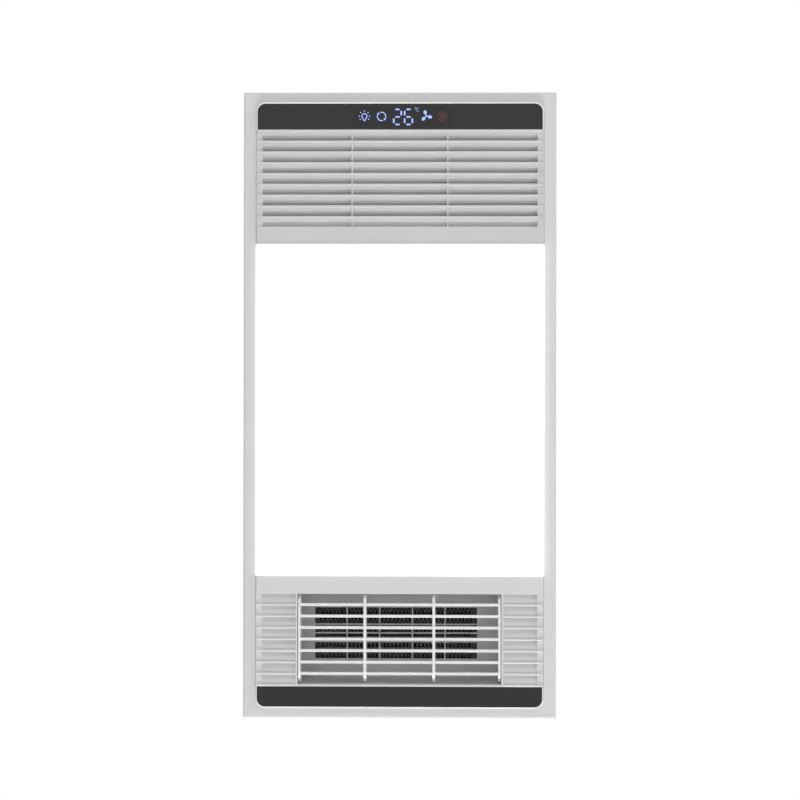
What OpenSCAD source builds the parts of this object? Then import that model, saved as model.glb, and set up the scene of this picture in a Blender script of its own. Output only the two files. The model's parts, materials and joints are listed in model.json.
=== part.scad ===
// Ceiling bathroom unit: heater, exhaust fan and light behind one panel.
// X runs across the panel, Y along it with the display at the -Y end, +Z up into the ceiling.
// Z = 0 is the ceiling plane; the origin is the centre of the four ceiling fixing holes.

/* [Panel] */
// Width of the face panel
panel_w = 300; // [292:1:306]
// Length of the face panel
panel_l = 600; // [592:1:612]
// Depth of the panel rim below the ceiling
panel_t = 7; // [6.5:0.5:9]
// Skin thickness of the moulded panel
skin = 2.5; // [2:0.1:3]
// Width of the flange along the long sides
flange_side = 11.7; // [11:0.1:13]
// Width of the flange across the ends
flange_end = 9.6; // [9:0.1:11]
// How far the modules stand below the flange
module_proud = 3; // [2.5:0.1:3.5]
// Corner radius of the module opening
module_r = 9.5; // [7:0.5:12]
// Bevel on the outer edge of the panel
edge_bevel = 1.5; // [0.8:0.1:2]
// Rounding along the long edges of the modules
module_edge_r = 2; // [1:0.25:2.5]
// Gap between a module and the flange
module_gap = 0.3; // [0.2:0.05:0.5]
// Thickness of the ledge that the modules sit on
ledge_t = 2; // [1.5:0.1:2.2]
// Reach of the ledge inside the flange
ledge_w = 6; // [5:0.5:7]

/* [Display] */
// Height of the display strip
display_h = 24.9; // [20:0.1:28]
// Height of the plain dark strip at the outlet end
lower_h = 19.3; // [14:0.1:20]
// Bright rim round the dark strips
strip_rim = 1.6; // [1.2:0.1:2]
// Thickness of the dark strips
strip_t = 2; // [1.5:0.1:2.5]
// Width of the display behind the strip
readout_w = 92; // [80:1:110]
// Height of the display behind the strip
readout_h = 18; // [14:0.5:20]

/* [Intake louvre] */
// Number of intake slats
intake_rows = 9; // [7:1:9]
// Pitch of the intake slats
intake_pitch = 10.35; // [9.5:0.05:10.5]
// Width of the ridge at the front of a slat
ridge_w = 2; // [1.6:0.1:2.6]
// Depth of a slat behind the front
slat_depth = 7; // [5.5:0.5:7]
// Thickness of a slat
slat_t = 1.6; // [1.2:0.1:2]
// Width of the closed band at each end of the slats
band_w = 6; // [4:0.5:8]
// Distance of the ribs between the slats from the middle
intake_rib_x = 45.8; // [35:0.1:60]
// Thickness of the ribs between the slats
intake_rib_t = 1.3; // [1:0.1:2]

/* [Light] */
// Height of the plain strip between the intake and the light
intake_plain = 16.85; // [12:0.05:20]
// Height of the plain strip between the light and the outlet
outlet_plain = 17.7; // [12:0.1:20]
// Thickness of the diffuser sheet
diffuser_t = 2.2; // [1.5:0.1:2.6]
// How far the diffuser stands below the grilles
diffuser_proud = 1; // [0.5:0.1:1.5]
// Number of light strips
led_rows = 4; // [2:1:5]
// Number of lamps on each strip
led_count = 12; // [6:1:14]

/* [Outlet] */
// Number of outlet rows
outlet_rows = 8; // [8:1:8]
// Pitch of the outlet rows
outlet_pitch = 11; // [10.8:0.05:11.1]
// Width of the closed part on each side of the outlet
outlet_side = 40.7; // [39:0.1:44]
// Thickness of the bar beside the opening
side_bar = 1.8; // [1.6:0.1:2.6]
// Gap round the swing grille
swing_gap = 1; // [0.8:0.1:1.3]
// Gap at each side of the swing grille
swing_side = 0.7; // [0.6:0.1:1.3]
// Half the depth of a swing rib
swing_rib_r = 12; // [10:0.5:12]
// Thickness of the end ribs of the swing grille
swing_end_t = 2.2; // [2:0.1:2.6]
// Thickness of the middle ribs of the swing grille
swing_mid_t = 2.6; // [2:0.1:3]
// Distance of the middle ribs from the middle
swing_mid_x = 33; // [25:0.5:40]
// Thickness of a vane at its front edge
vane_t = 2.6; // [1.8:0.1:2.8]
// Depth of a vane
vane_depth = 9; // [7:0.5:10]
// Height of the swing axis above the ceiling plane
swing_z = 2; // [1:0.5:3]
// Radius of the swing pins
swing_pin_r = 2.5; // [2:0.1:2.8]
// Running clearance of pins and shafts
run_gap = 0.06; // [0.03:0.01:0.09]

/* [Heater] */
// Height of the guard over the heater
guard_z = 36; // [36:0.5:38]
// Distance from the wall of the duct to the heater window
heater_side = 17.9; // [14:0.1:20]
// Length of the heater window along the panel
heater_l = 51.4; // [45:0.2:55]
// Offset of the heater window from the middle
heater_x = -3.8; // [-6:0.1:0]
// Height of the heater fins
fin_h = 16; // [12:1:18]
// Pitch of the heater fins
fin_pitch = 3.8; // [3.4:0.1:5]
// Thickness of the fin strip
fin_t = 0.5; // [0.4:0.05:0.7]
// Number of fin rows
fin_rows = 5; // [3:1:6]
// Thickness of a heater tube
tube_t = 3; // [2.5:0.1:4]

/* [Fan] */
// Space between the fan wheel and the outside of the housing
wheel_side = 55; // [54:0.5:60]
// Distance from the centre of the fan to the chamber behind its mouth
fan_back = 110; // [108:0.5:112]
// Gap between the fan wheel and the tongue of the scroll
wheel_gap = 6; // [5:0.5:8]
// Number of blades
blades = 40; // [30:1:44]
// Depth of the blade ring
blade_depth = 12; // [10:0.5:14]
// Height of the scroll floor above the ceiling plane
scroll_z = 44; // [42:1:46]
// Growth of the scroll from the tongue to the mouth
scroll_grow = 28; // [24:0.5:28]
// Wall of the plastic ducts
duct_t = 1.6; // [1.2:0.1:2]
// Reach of the fan wheel past its inlet
inlet_lap = 17; // [15:0.5:24]
// Radius of the motor
motor_r = 40; // [34:1:42]
// Height of the motor
motor_h = 33; // [30:0.5:34]
// Radius of the motor shaft
shaft_r = 4; // [3:0.25:5]

/* [Exhaust] */
// Outside radius of the exhaust spigot
spigot_r = 49; // [47:0.25:50]
// Wall of the spigot
spigot_t = 2.2; // [1.8:0.1:2.6]
// Length of the spigot outside the housing
spigot_l = 48.5; // [48:0.25:48.75]
// Distance from the centre of the spigot to the outlet end of the light
spigot_end = 103.5; // [102:0.5:106]
// How far the end of the spigot stays inside the edge of the panel
spigot_back = 0.5; // [0.5:0.5:4]
// Length of the changeover flap
flap_l = 104; // [101:0.5:105]
// Thickness of the changeover flap
flap_t = 2; // [1.6:0.1:2.4]

/* [Housing] */
// Distance from the edge of the panel to the housing, across
housing_side = 20; // [19:0.5:21]
// Distance from the edge of the panel to the housing, along
housing_end = 24; // [22:0.5:25]
// Height of the sheet housing
housing_h = 150; // [149:0.5:154]
// Sheet thickness
sheet = 1; // [0.8:0.1:1.1]
// Reach of the out-turned ceiling flange
ceiling_lip = 12; // [11:0.5:13]
// Spacing of the ceiling holes along
fix_y = 400; // [340:5:460]
// Radius of the ceiling holes
fix_r = 2.5; // [2:0.1:3]
// Spacing of the hanging rods along
hang_y = 440; // [400:5:480]
// Radius of the hanging holes
hang_r = 3.5; // [3:0.25:4]

/* [Wiring] */
// Width of the terminal box along the panel
box_l = 90; // [70:1:110]
// Height of the terminal box
box_h = 60; // [50:1:70]
// Depth of the terminal box
box_d = 16.5; // [16:0.25:16.5]
// Radius of the cable entry
cable_r = 3.5; // [3:0.25:3.75]
// Radius of the small screws
screw_r = 1.5; // [1.25:0.25:2]

/* [Hidden] */
$fn = 48;
tiny = 0.01;
white = [0.86, 0.86, 0.85];
dark = [0.13, 0.13, 0.14];
zinc = [0.70, 0.72, 0.74];
grey = [0.55, 0.55, 0.55];
brass = [0.78, 0.63, 0.30];
green = [0.10, 0.35, 0.22];

// Levels of the face
flange_z = -panel_t;
front_z = flange_z - module_proud;
ledge_z = flange_z + skin;
back_z = ledge_z + ledge_t;

// Plan of the modules
mod_x = panel_w / 2 - flange_side;
mod_y = panel_l / 2 - flange_end;
win_x = mod_x - strip_rim - module_gap;
display_y0 = -mod_y + strip_rim;
display_y1 = display_y0 + display_h;
intake_y1 = display_y1 + intake_rows * intake_pitch;
lower_y1 = mod_y - strip_rim;
lower_y0 = lower_y1 - lower_h;
outlet_y1 = lower_y0 - 0.3;
outlet_y0 = outlet_y1 - outlet_rows * outlet_pitch;
light_y0 = intake_y1 + intake_plain;
light_y1 = outlet_y0 - outlet_plain;
light_l = light_y1 - light_y0;
band_x = mod_x - module_gap - 0.3;
cell_x = band_x - band_w;

// Swing grille
swing_y = outlet_y1 - ridge_w / 2 - outlet_rows / 2 * outlet_pitch;
swing_hole = outlet_y1 - 1.6 - swing_y;
swing_r = swing_hole - swing_gap;
outlet_half_w = mod_x - outlet_side;
swing_half_w = outlet_half_w - swing_side;
swing_seat = 1.7;
duct_x = outlet_half_w + 0.6;
swing_pin_l = duct_x + duct_t - swing_half_w;
stepper_r = 14;
stepper_h = 19;
stepper_off = 8;
stepper_ear = 17.5;

// Housing and interior
housing_w = panel_w - 2 * housing_side;
housing_l = panel_l - 2 * housing_end;
fix_x = housing_w + ceiling_lip;
in_x = housing_w / 2 - sheet;
in_y = housing_l / 2 - sheet;
roof_z = housing_h - sheet;
guard_t = 1.6;
heater_z = guard_z + guard_t + 1.4;
heater_top = heater_z + fin_h + 1;
flange_t = 2.2;
seal_t = 1;
port_x = panel_w / 2 - spigot_back - spigot_l - seal_t;
wheel_r = housing_w / 2 - wheel_side;
foot_h = 3;
motor_z = roof_z - 2 - motor_h;
scroll_top = motor_z - foot_h;
scroll_h = scroll_top - scroll_z;
scroll_r0 = wheel_r + wheel_gap;
inlet_r = wheel_r - inlet_lap;
mouth_x1 = port_x - 5;
mouth_x0 = mouth_x1 - 66;
fan_x = mouth_x1 - scroll_r0 - scroll_grow;
heater_w = 2 * (duct_x - heater_side);
spigot_y = light_y1 - spigot_end;
chamber_y0 = spigot_y - 60;
fan_y = chamber_y0 - fan_back;
chamber_x1 = port_x - sheet;
chamber_x0 = chamber_x1 - flap_l;
chamber_y1 = swing_y - swing_hole - duct_t;
chamber_z1 = roof_z - stepper_h - 2;
chamber_z0 = chamber_z1 - 102;
spigot_z = (chamber_z0 + chamber_z1) / 2 + 1;
seat_l = 4.6;
flap_x = chamber_x1 - duct_t - seat_l - 0.5 - flap_t / 2;
flap_y = spigot_y + flap_l / 2 + 1;
flap_pin_r = 3;
wheel_low = 3;
wheel_high = 4;
wheel_z = scroll_z + wheel_low;
wheel_h = scroll_h - wheel_low - wheel_high;
spigot_in = spigot_r - spigot_t;
valve_x = port_x + 4.5;
leaf_r = spigot_in - 0.6;
leaf_t = 1;
valve_pin_r = 1.25;

// Placing helpers
module along_x(x0, x1) {
    translate([x0, 0, 0]) rotate([90, 0, 90]) linear_extrude(x1 - x0) children();
}
module along_y(y0, y1) {
    translate([0, y1, 0]) rotate([90, 0, 0]) linear_extrude(y1 - y0) children();
}
module block(a, b) {
    translate(a) cube([b[0] - a[0], b[1] - a[1], b[2] - a[2]]);
}
module both_x() {
    children();
    mirror([1, 0, 0]) children();
}
module round_plan(x, y, r) {
    union() {
        square([2 * x - 2 * r, 2 * y], center = true);
        square([2 * x, 2 * y - 2 * r], center = true);
        for (i = [-1, 1], j = [-1, 1]) translate([i * (x - r), j * (y - r)]) circle(r);
    }
}
module bar_xz(x, z0, z1, r) {
    union() {
        translate([-x, z0 + r]) square([2 * x, z1 - z0 - r]);
        translate([-x + r, z0]) square([2 * x - 2 * r, z1 - z0]);
        for (i = [-1, 1]) translate([i * (x - r), z0 + r]) circle(r);
    }
}
module screw(r, l, head_r = 3, head_h = 1.6) {
    cylinder(r = head_r, h = head_h);
    translate([0, 0, -l]) cylinder(r = r, h = l + tiny);
}

// The outer frame with its flange, ledge and two cross bars
module face_frame() {
    color(white) difference() {
        union() {
            intersection() {
                along_y(-panel_l / 2, panel_l / 2) bevel_xz(panel_w / 2);
                along_x(-panel_w / 2, panel_w / 2) bevel_xz(panel_l / 2);
            }
        }
        // hollow behind the flange
        difference() {
            translate([0, 0, ledge_z]) linear_extrude(panel_t)
                square([panel_w - 2 * skin, panel_l - 2 * skin], center = true);
            ledge_ring();
        }
        // opening for the modules
        translate([0, 0, flange_z - 1]) linear_extrude(skin + 1 + tiny)
            round_plan(mod_x, mod_y, module_r);
        translate([0, 0, flange_z - 1]) linear_extrude(panel_t + 2)
            round_plan(mod_x - ledge_w, mod_y - ledge_w, module_r);
    }
    color(white) for (y = [light_y0, light_y1])
        block([-mod_x + ledge_w / 2, y - ledge_w, ledge_z], [mod_x - ledge_w / 2, y + ledge_w, back_z]);
}
module ledge_ring() {
    translate([0, 0, ledge_z - tiny]) linear_extrude(ledge_t + tiny)
        round_plan(mod_x + 2, mod_y + 2, module_r);
}
module bevel_xz(h) {
    polygon([
        [-h, 0], [h, 0], [h, flange_z + edge_bevel], [h - edge_bevel, flange_z],
        [-h + edge_bevel, flange_z], [-h, flange_z + edge_bevel]
    ]);
}

// Body of a module between two stations along the panel
module module_body(y0, y1, z0, z1) {
    x = mod_x - module_gap;
    intersection() {
        along_y(y0, y1) bar_xz(x, z0, z1, module_edge_r);
        translate([0, 0, z0 - 1]) linear_extrude(z1 - z0 + 2)
            round_plan(x, mod_y - module_gap, module_r - module_gap);
    }
}

// Hollow behind a plain strip, with three stiffening ribs left standing
module back_hollow(y0, y1) {
    cells = 4;
    w = (2 * cell_x - 6) / cells;
    for (i = [0:cells - 1]) block([-cell_x + 3 + i * w + 0.8, y0, front_z + skin],
        [-cell_x + 3 + (i + 1) * w - 0.8, y1, ledge_z + 1]);
}

// Profile of an open slat: a ridge, a shallow step and a face that sweeps back
function slat_y(t) = ridge_w + 1.6 + t * (intake_pitch - ridge_w + 0.4);
function slat_z(t) = front_z + 0.9 + (slat_depth - 0.9) * pow(t, 1.3);
module slat_profile() {
    steps = 7;
    front = [for (i = [0:steps]) [slat_y(i / steps), slat_z(i / steps)]];
    back = [for (i = [steps:-1:0]) [slat_y(i / steps) - slat_t * 0.35, slat_z(i / steps) + slat_t]];
    polygon(concat(
        [[0, front_z], [ridge_w, front_z], [ridge_w + 0.4, front_z + 0.7]],
        front, back, [[0, front_z + slat_t + 0.8]]
    ));
}

// Ridges that run on over the closed end bands, with round ends
module band_ridges(y0, rows, pitch) {
    for (i = [0:rows - 1]) both_x() {
        y = y0 + i * pitch;
        block([cell_x - 1, y, front_z], [band_x - 1.2, y + ridge_w, front_z + 1]);
        translate([band_x - 1.2, y + ridge_w / 2, front_z]) cylinder(r = ridge_w / 2, h = 1);
    }
}

// Intake grille: display pocket, nine open slats with ribs, and a plain strip
module intake_grille() {
    color(white) {
        difference() {
            module_body(-mod_y + module_gap, light_y0 - module_gap, front_z, ledge_z);
            // open cells between the end bands
            block([-cell_x, display_y1 + ridge_w, front_z - 1], [cell_x, intake_y1, ledge_z + 1]);
            // bands set back behind the ridges
            both_x() block(
                [cell_x - tiny, display_y1 + tiny, front_z - 1], [mod_x, intake_y1, front_z + 0.6]
            );
            display_pocket();
            back_hollow(intake_y1 + 4, light_y0 - module_gap - skin);
        }
        for (i = [0:intake_rows - 1]) translate([0, display_y1 + i * intake_pitch, 0])
            along_x(-cell_x - 0.3, cell_x + 0.3) slat_profile();
        band_ridges(display_y1, intake_rows, intake_pitch);
        // ribs and end walls that carry the slats
        for (x = [-intake_rib_x, intake_rib_x]) rib_wall(x, intake_rib_t, front_z + 0.4);
        block([-cell_x, intake_y1, front_z + 2], [cell_x, intake_y1 + 2, back_z - 0.4]);
    }
}
module rib_wall(x, t, z0) {
    along_x(x - t / 2, x + t / 2) polygon([
        [display_y1 + 1, z0], [intake_y1 + 1, z0], [intake_y1 + 1, front_z + slat_depth + 0.6],
        [display_y1 + 12, front_z + slat_depth + 0.6], [display_y1 + 1, front_z + 4]
    ]);
}
module display_pocket() {
    translate([0, 0, front_z - 1]) linear_extrude(strip_t + 1 + 0.1) strip_plan(0.15);
    block(
        [-readout_w / 2, (display_y0 + display_y1 - readout_h) / 2, front_z],
        [readout_w / 2, (display_y0 + display_y1 + readout_h) / 2, ledge_z + 1]
    );
}
// Plan of the display strip, rounded at the two outer corners
module strip_plan(g) {
    r = module_r - strip_rim;
    intersection() {
        round_plan(win_x + g, mod_y - strip_rim + g, r + g);
        translate([-win_x - g, display_y0 - g]) square([2 * win_x + 2 * g, display_h + 2 * g]);
    }
}
module lower_plan(g) {
    r = module_r - strip_rim;
    intersection() {
        round_plan(win_x + g, mod_y - strip_rim + g, r + g);
        translate([-win_x - g, lower_y0 - g]) square([2 * win_x + 2 * g, lower_h + 2 * g]);
    }
}
module display_window() {
    color(dark) translate([0, 0, front_z + 0.2]) linear_extrude(strip_t - 0.1) strip_plan(0);
}
module lower_window() {
    color(dark) translate([0, 0, front_z + 0.2]) linear_extrude(strip_t - 0.1) lower_plan(0);
}

// Outlet grille: plain strip, fixed blank louvres each side, opening for the swing grille
module outlet_grille() {
    color(white) {
        difference() {
            module_body(light_y1 + module_gap, mod_y - module_gap, front_z, ledge_z);
            block([-outlet_half_w, swing_y - swing_hole, front_z - 1],
                [outlet_half_w, swing_y + swing_hole, ledge_z + 1]);
            both_x() block([outlet_half_w + side_bar, outlet_y0, front_z - 1],
                [cell_x + tiny, outlet_y1, ledge_z - 0.5]);
            both_x() block([cell_x - tiny, outlet_y0, front_z - 1],
                [mod_x, outlet_y1 - tiny, front_z + 0.6]);
            translate([0, 0, front_z - 1]) linear_extrude(strip_t + 1.1) lower_plan(0.15);
            back_hollow(light_y1 + module_gap + skin, swing_y - swing_hole - 4);
        }
        both_x() along_x(outlet_half_w + side_bar - 0.5, cell_x + 0.5) blank_profile();
        band_ridges(outlet_y0 + outlet_pitch - ridge_w, outlet_rows, outlet_pitch);
    }
}
// Closed louvre: each row is deepest just under the ridge before it
module blank_profile() {
    deep = front_z + 3.6;
    shallow = front_z + 1;
    polygon(concat(
        [[outlet_y0, ledge_z - tiny], [outlet_y0, deep]],
        [for (i = [0:outlet_rows - 1]) let (y = outlet_y0 + i * outlet_pitch) each [
            [y + 0.1, deep], [y + outlet_pitch - ridge_w - 1.4, shallow],
            [y + outlet_pitch - ridge_w, shallow + 0.5], [y + outlet_pitch - ridge_w, front_z],
            [y + outlet_pitch, front_z], [y + outlet_pitch, min(deep, ledge_z - 0.6)]
        ]],
        [[outlet_y1 + 0.01, ledge_z - tiny]]
    ));
}

// Opal diffuser: a shallow tray with rounded long edges
module light_diffuser() {
    z0 = front_z - diffuser_proud;
    y0 = light_y0 + module_gap;
    y1 = light_y1 - module_gap;
    x = mod_x - module_gap;
    color([0.96, 0.96, 0.96]) difference() {
        along_y(y0, y1) bar_xz(x, z0, ledge_z, module_edge_r);
        block([-x + diffuser_t, y0 + diffuser_t, z0 + diffuser_t],
            [x - diffuser_t, y1 - diffuser_t, ledge_z + 1]);
    }
}
tray_x = mod_x - ledge_w / 2 - 1;
tray_t = 1.1;
tray_top = back_z + tray_t;
clip_y = [light_y0 + 53.9, light_y1 - 19];
clip_foot_x = in_x - 12;
module light_tray() {
    color(zinc) difference() {
        block([-tray_x, light_y0 - 4, back_z], [tray_x, light_y1 + 4, tray_top]);
        for (y = clip_y) both_x() translate([clip_foot_x, y, back_z - 1])
            cylinder(r = screw_r, h = tray_t + 2);
    }
}
module led_boards() {
    pitch = 2 * tray_x / led_rows;
    board_l = light_l - 24;
    for (i = [0:led_rows - 1]) translate([(i - (led_rows - 1) / 2) * pitch, 0, 0]) {
        color("white") block([-7, light_y0 + 12, back_z - 1], [7, light_y1 - 12, back_z]);
        color([1, 0.95, 0.7]) for (j = [0:led_count - 1])
            translate([0, light_y0 + 12 + (j + 0.5) * board_l / led_count, back_z - 2.6])
                cylinder(r1 = 2.6, r2 = 4, h = 1.62);
    }
}
driver_w = 44;
driver_l = 102;
driver_h = 24;
driver_ear = 10;
driver_x = -tray_x + 30.3;
driver_y = (light_y0 + light_y1) / 2 - 15;
module led_driver() {
    color("white") translate([driver_x, driver_y, tray_top]) {
        difference() {
            cube([driver_w, driver_l, driver_h]);
            for (i = [0:5]) translate([6 + i * 6, -1, 8]) cube([3, 3, 10]);
        }
        for (y = [-driver_ear, driver_l]) difference() {
            translate([driver_w / 2 - driver_ear, y, 0]) cube([2 * driver_ear, driver_ear, 2]);
            translate([driver_w / 2, y + driver_ear / 2, -1]) cylinder(r = 2, h = 4);
        }
    }
}
module display_board() {
    y = (display_y0 + display_y1) / 2;
    color(green) block([-readout_w / 2 - 3, -mod_y + ledge_w + 0.4, ledge_z],
        [readout_w / 2 + 3, y + readout_h / 2 + 4, ledge_z + 1.4]);
}
module display_module() {
    y = (display_y0 + display_y1) / 2;
    color("black") block([-readout_w / 2 + 0.3, y - readout_h / 2 + 0.3, front_z + strip_t + 0.2],
        [readout_w / 2 - 0.3, y + readout_h / 2 - 0.3, ledge_z]);
}
module panel_clips() {
    z = tray_top;
    w = 10;
    color(zinc) for (y = clip_y) both_x() difference() {
        along_y(y - w, y + w) polygon([
            [in_x - 18, z], [in_x - 2, z], [in_x - 2, z + 6], [in_x - 0.3, z + 14],
            [in_x - 3, z + 23], [in_x - 4, z + 23], [in_x - 1.4, z + 14], [in_x - 3, z + 6.2],
            [in_x - 3, z + 1], [in_x - 18, z + 1]
        ]);
        translate([clip_foot_x, y, z - 1]) cylinder(r = screw_r, h = 3);
    }
}
module panel_screws() {
    color(zinc) for (y = clip_y) both_x() translate([clip_foot_x, y, tray_top + 1])
        screw(screw_r, tray_t + 2);
}

// Swing grille: seven vanes on four round-ended ribs, with a pin at the left end
module rib_plan() {
    union() {
        translate([swing_y - swing_r + swing_rib_r, swing_z - swing_rib_r])
            square([2 * (swing_r - swing_rib_r), 2 * swing_rib_r]);
        for (i = [-1, 1]) translate([swing_y + i * (swing_r - swing_rib_r), swing_z])
            circle(swing_rib_r);
    }
}
module vane_plan() {
    polygon([
        [-vane_t / 2 + 0.3, 0], [vane_t / 2 - 0.3, 0], [vane_t / 2, 0.4], [vane_t / 2, 1.6],
        [0.6, vane_depth], [-0.6, vane_depth], [-vane_t / 2, 1.6], [-vane_t / 2, 0.4]
    ]);
}
module swing_axis_x(x) {
    translate([x, swing_y, swing_z]) rotate([0, 90, 0]) children();
}
module swing_grille() {
    vanes = outlet_rows - 1;
    color(white) difference() {
        union() {
            for (x = [-swing_half_w, swing_half_w - swing_end_t])
                along_x(x, x + swing_end_t) rib_plan();
            for (x = [-swing_mid_x, swing_mid_x])
                along_x(x - swing_mid_t / 2, x + swing_mid_t / 2) rib_plan();
            for (i = [0:vanes - 1])
                translate([0, swing_y + (i - (vanes - 1) / 2) * outlet_pitch, swing_z - swing_rib_r + 0.6])
                    along_x(-swing_half_w + 1, swing_half_w - 1) vane_plan();
            swing_axis_x(-swing_half_w - swing_pin_l) cylinder(r = swing_pin_r, h = swing_pin_l + 1);
        }
        swing_axis_x(swing_half_w - swing_seat) cylinder(r = swing_pin_r, h = swing_seat + 1);
    }
}
module swing_bush() {
    color(grey) difference() {
        union() {
            swing_axis_x(-duct_x - duct_t) cylinder(r = 4.5, h = duct_t + 0.4);
            swing_axis_x(-duct_x - duct_t - 1.2) cylinder(r = 6.5, h = 1.2);
        }
        swing_axis_x(-duct_x - duct_t - 2) cylinder(r = swing_pin_r + run_gap, h = duct_t + 4);
    }
}
// Geared stepper with its round can, two ears, a boss and a wire block
module stepper(bore_r, bore_l) {
    difference() {
        union() {
            translate([stepper_off, 0, 0]) cylinder(r = stepper_r, h = stepper_h);
            translate([stepper_off, 0, 0.4]) cube([7, 2 * stepper_ear, 0.8], center = true);
            for (j = [-1, 1]) translate([stepper_off, j * stepper_ear, 0]) cylinder(r = 3.5, h = 0.8);
            translate([stepper_off + stepper_r - 2, -7.3, 1]) cube([5, 14.6, stepper_h - 2.5]);
        }
        translate([0, 0, -1]) cylinder(r = bore_r, h = bore_l + 1);
        for (j = [-1, 1]) translate([stepper_off, j * stepper_ear, -1])
            cylinder(r = screw_r + 0.1, h = 3);
    }
}
module swing_motor() {
    color("silver") translate([duct_x + duct_t, swing_y, swing_z]) rotate([0, 90, 0]) rotate([0, 0, 180])
        stepper(swing_pin_r + run_gap, 12);
}
module swing_motor_shaft() {
    x0 = swing_half_w - swing_seat;
    color(brass) swing_axis_x(x0) cylinder(r = swing_pin_r, h = duct_x + duct_t + 11 - x0);
}
module swing_motor_screws() {
    color(zinc) for (j = [-1, 1])
        translate([duct_x + duct_t + 0.8, swing_y + j * stepper_ear, swing_z + stepper_off])
            rotate([0, 90, 0]) screw(screw_r, duct_t + 0.8 - 0.2, 2.8, 1.4);
}
// Duct that the swing grille turns in
module outlet_duct() {
    y0 = swing_y - swing_hole;
    y1 = swing_y + swing_hole;
    lip = 5;
    color([0.5, 0.5, 0.5]) difference() {
        union() {
            block([-duct_x - duct_t, y0 - duct_t, ledge_z], [duct_x + duct_t, y1 + duct_t, guard_z]);
            block([-duct_x - lip, y0 - duct_t, guard_z - 2], [duct_x + lip, y1 + duct_t, guard_z]);
        }
        block([-duct_x, y0, ledge_z - 1], [duct_x, y1, guard_z + 1]);
        swing_axis_x(-duct_x - duct_t - 1) cylinder(r = 4.5, h = duct_t + 2);
        swing_axis_x(duct_x - 1) cylinder(r = swing_pin_r + 0.5, h = duct_t + 2);
        for (j = [-1, 1]) translate([duct_x - 1, swing_y + j * stepper_ear, swing_z + stepper_off])
            rotate([0, 90, 0]) cylinder(r = screw_r, h = duct_t + 2);
    }
}

// Guard over the heater: seven bars along the window and six across it
guard_bars = 7;
guard_posts = 6;
guard_bar = 1.3;
hood_x = duct_x + duct_t;
hood_y0 = swing_y - swing_hole - duct_t;
hood_y1 = swing_y + swing_hole + duct_t;
win_y0 = swing_y - heater_l / 2;
module heater_guard() {
    color([0.6, 0.6, 0.6]) {
        difference() {
            block([-hood_x, hood_y0, guard_z], [hood_x, hood_y1, guard_z + guard_t]);
            block([heater_x - heater_w / 2, win_y0, guard_z - 1],
                [heater_x + heater_w / 2, win_y0 + heater_l, guard_z + guard_t + 1]);
        }
        for (i = [0:guard_bars - 1]) translate([0, win_y0 + i * heater_l / (guard_bars - 1), 0])
            block([-duct_x + 0.5, -guard_bar / 2, guard_z - 0.3],
                [duct_x - 0.5, guard_bar / 2, guard_z + 1]);
        for (i = [0:guard_posts - 1])
            translate([heater_x + heater_w * (i / (guard_posts - 1) - 0.5), 0, 0])
                block([-guard_bar / 2, win_y0, guard_z], [guard_bar / 2, win_y0 + heater_l, guard_z + 1.2]);
    }
}

// Heater: tubes with a zigzag strip between each pair, held by two end caps
row_h = (heater_l - (fin_rows - 1) * tube_t) / fin_rows;
fin_x0 = heater_x - heater_w / 2 + 3;
fin_x1 = heater_x + heater_w / 2 - 3;
cap_x1 = fin_x1 + 9;
module heater_tubes() {
    color("silver") for (i = [0:fin_rows]) {
        y = win_y0 - tube_t + i * (row_h + tube_t);
        block([fin_x0, y, heater_z], [fin_x1, y + tube_t, heater_z + fin_h]);
    }
}
module heater_fins() {
    n = floor((fin_x1 - fin_x0 - 2) / fin_pitch);
    x0 = (fin_x0 + fin_x1 - n * fin_pitch) / 2;
    rise = fin_t * row_h / (fin_pitch / 2);
    color([0.12, 0.12, 0.12]) for (i = [0:fin_rows - 1])
        translate([0, win_y0 + i * (row_h + tube_t), heater_z + 0.5]) linear_extrude(fin_h - 1)
            polygon(concat(
                [for (k = [0:2 * n]) [x0 + k * fin_pitch / 2, k % 2 == 0 ? 0 : row_h - rise]],
                [for (k = [2 * n:-1:0]) [x0 + k * fin_pitch / 2, k % 2 == 0 ? rise : row_h]]
            ));
}
module heater_end_caps() {
    y0 = win_y0 - tube_t;
    y1 = win_y0 + heater_l + tube_t;
    color([0.16, 0.16, 0.16]) {
        difference() {
            block([fin_x0 - 9, y0, guard_z + guard_t], [fin_x0, y1, heater_top]);
            translate([fin_x0 - 5, swing_y, heater_top - 4]) cylinder(r = 2, h = 5);
        }
        difference() {
            block([fin_x1, y0, guard_z + guard_t], [cap_x1, y1, heater_top]);
            translate([fin_x1 + 4.5, swing_y, heater_top - 4]) cylinder(r = 2, h = 5);
        }
        // lips under the fin rows at both ends
        for (x = [fin_x0, fin_x1 - 2.6]) for (i = [0:fin_rows - 1])
            block([x, win_y0 + i * (row_h + tube_t) + 1, guard_z + guard_t],
                [x + 2.6, win_y0 + i * (row_h + tube_t) + row_h - 1, heater_z]);
    }
}
module heater_terminals() {
    color(brass) for (i = [0:2]) translate([cap_x1, swing_y + (i - 1) * 16, heater_z + fin_h / 2])
        difference() {
            block([0, -3.15, -0.4], [8, 3.15, 0.4]);
            translate([5, 0, -1]) cylinder(r = 1, h = 2);
        }
}
hood_low = heater_top + 26;
hood_flat_x = 30;
module hood_outline(g) {
    polygon([
        [-hood_x + g, guard_z + guard_t - (g > 0 ? 1 : 0)], [hood_x - g, guard_z + guard_t - (g > 0 ? 1 : 0)],
        [hood_x - g, chamber_z1 - g], [hood_flat_x, chamber_z1 - g],
        [-hood_x + 24, hood_low - g], [-hood_x + g, hood_low - g]
    ]);
}
pass_x1 = chamber_x1 - duct_t - 0.2;
mouth_z0 = scroll_z + duct_t;
mouth_z1 = scroll_top - duct_t;
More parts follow.
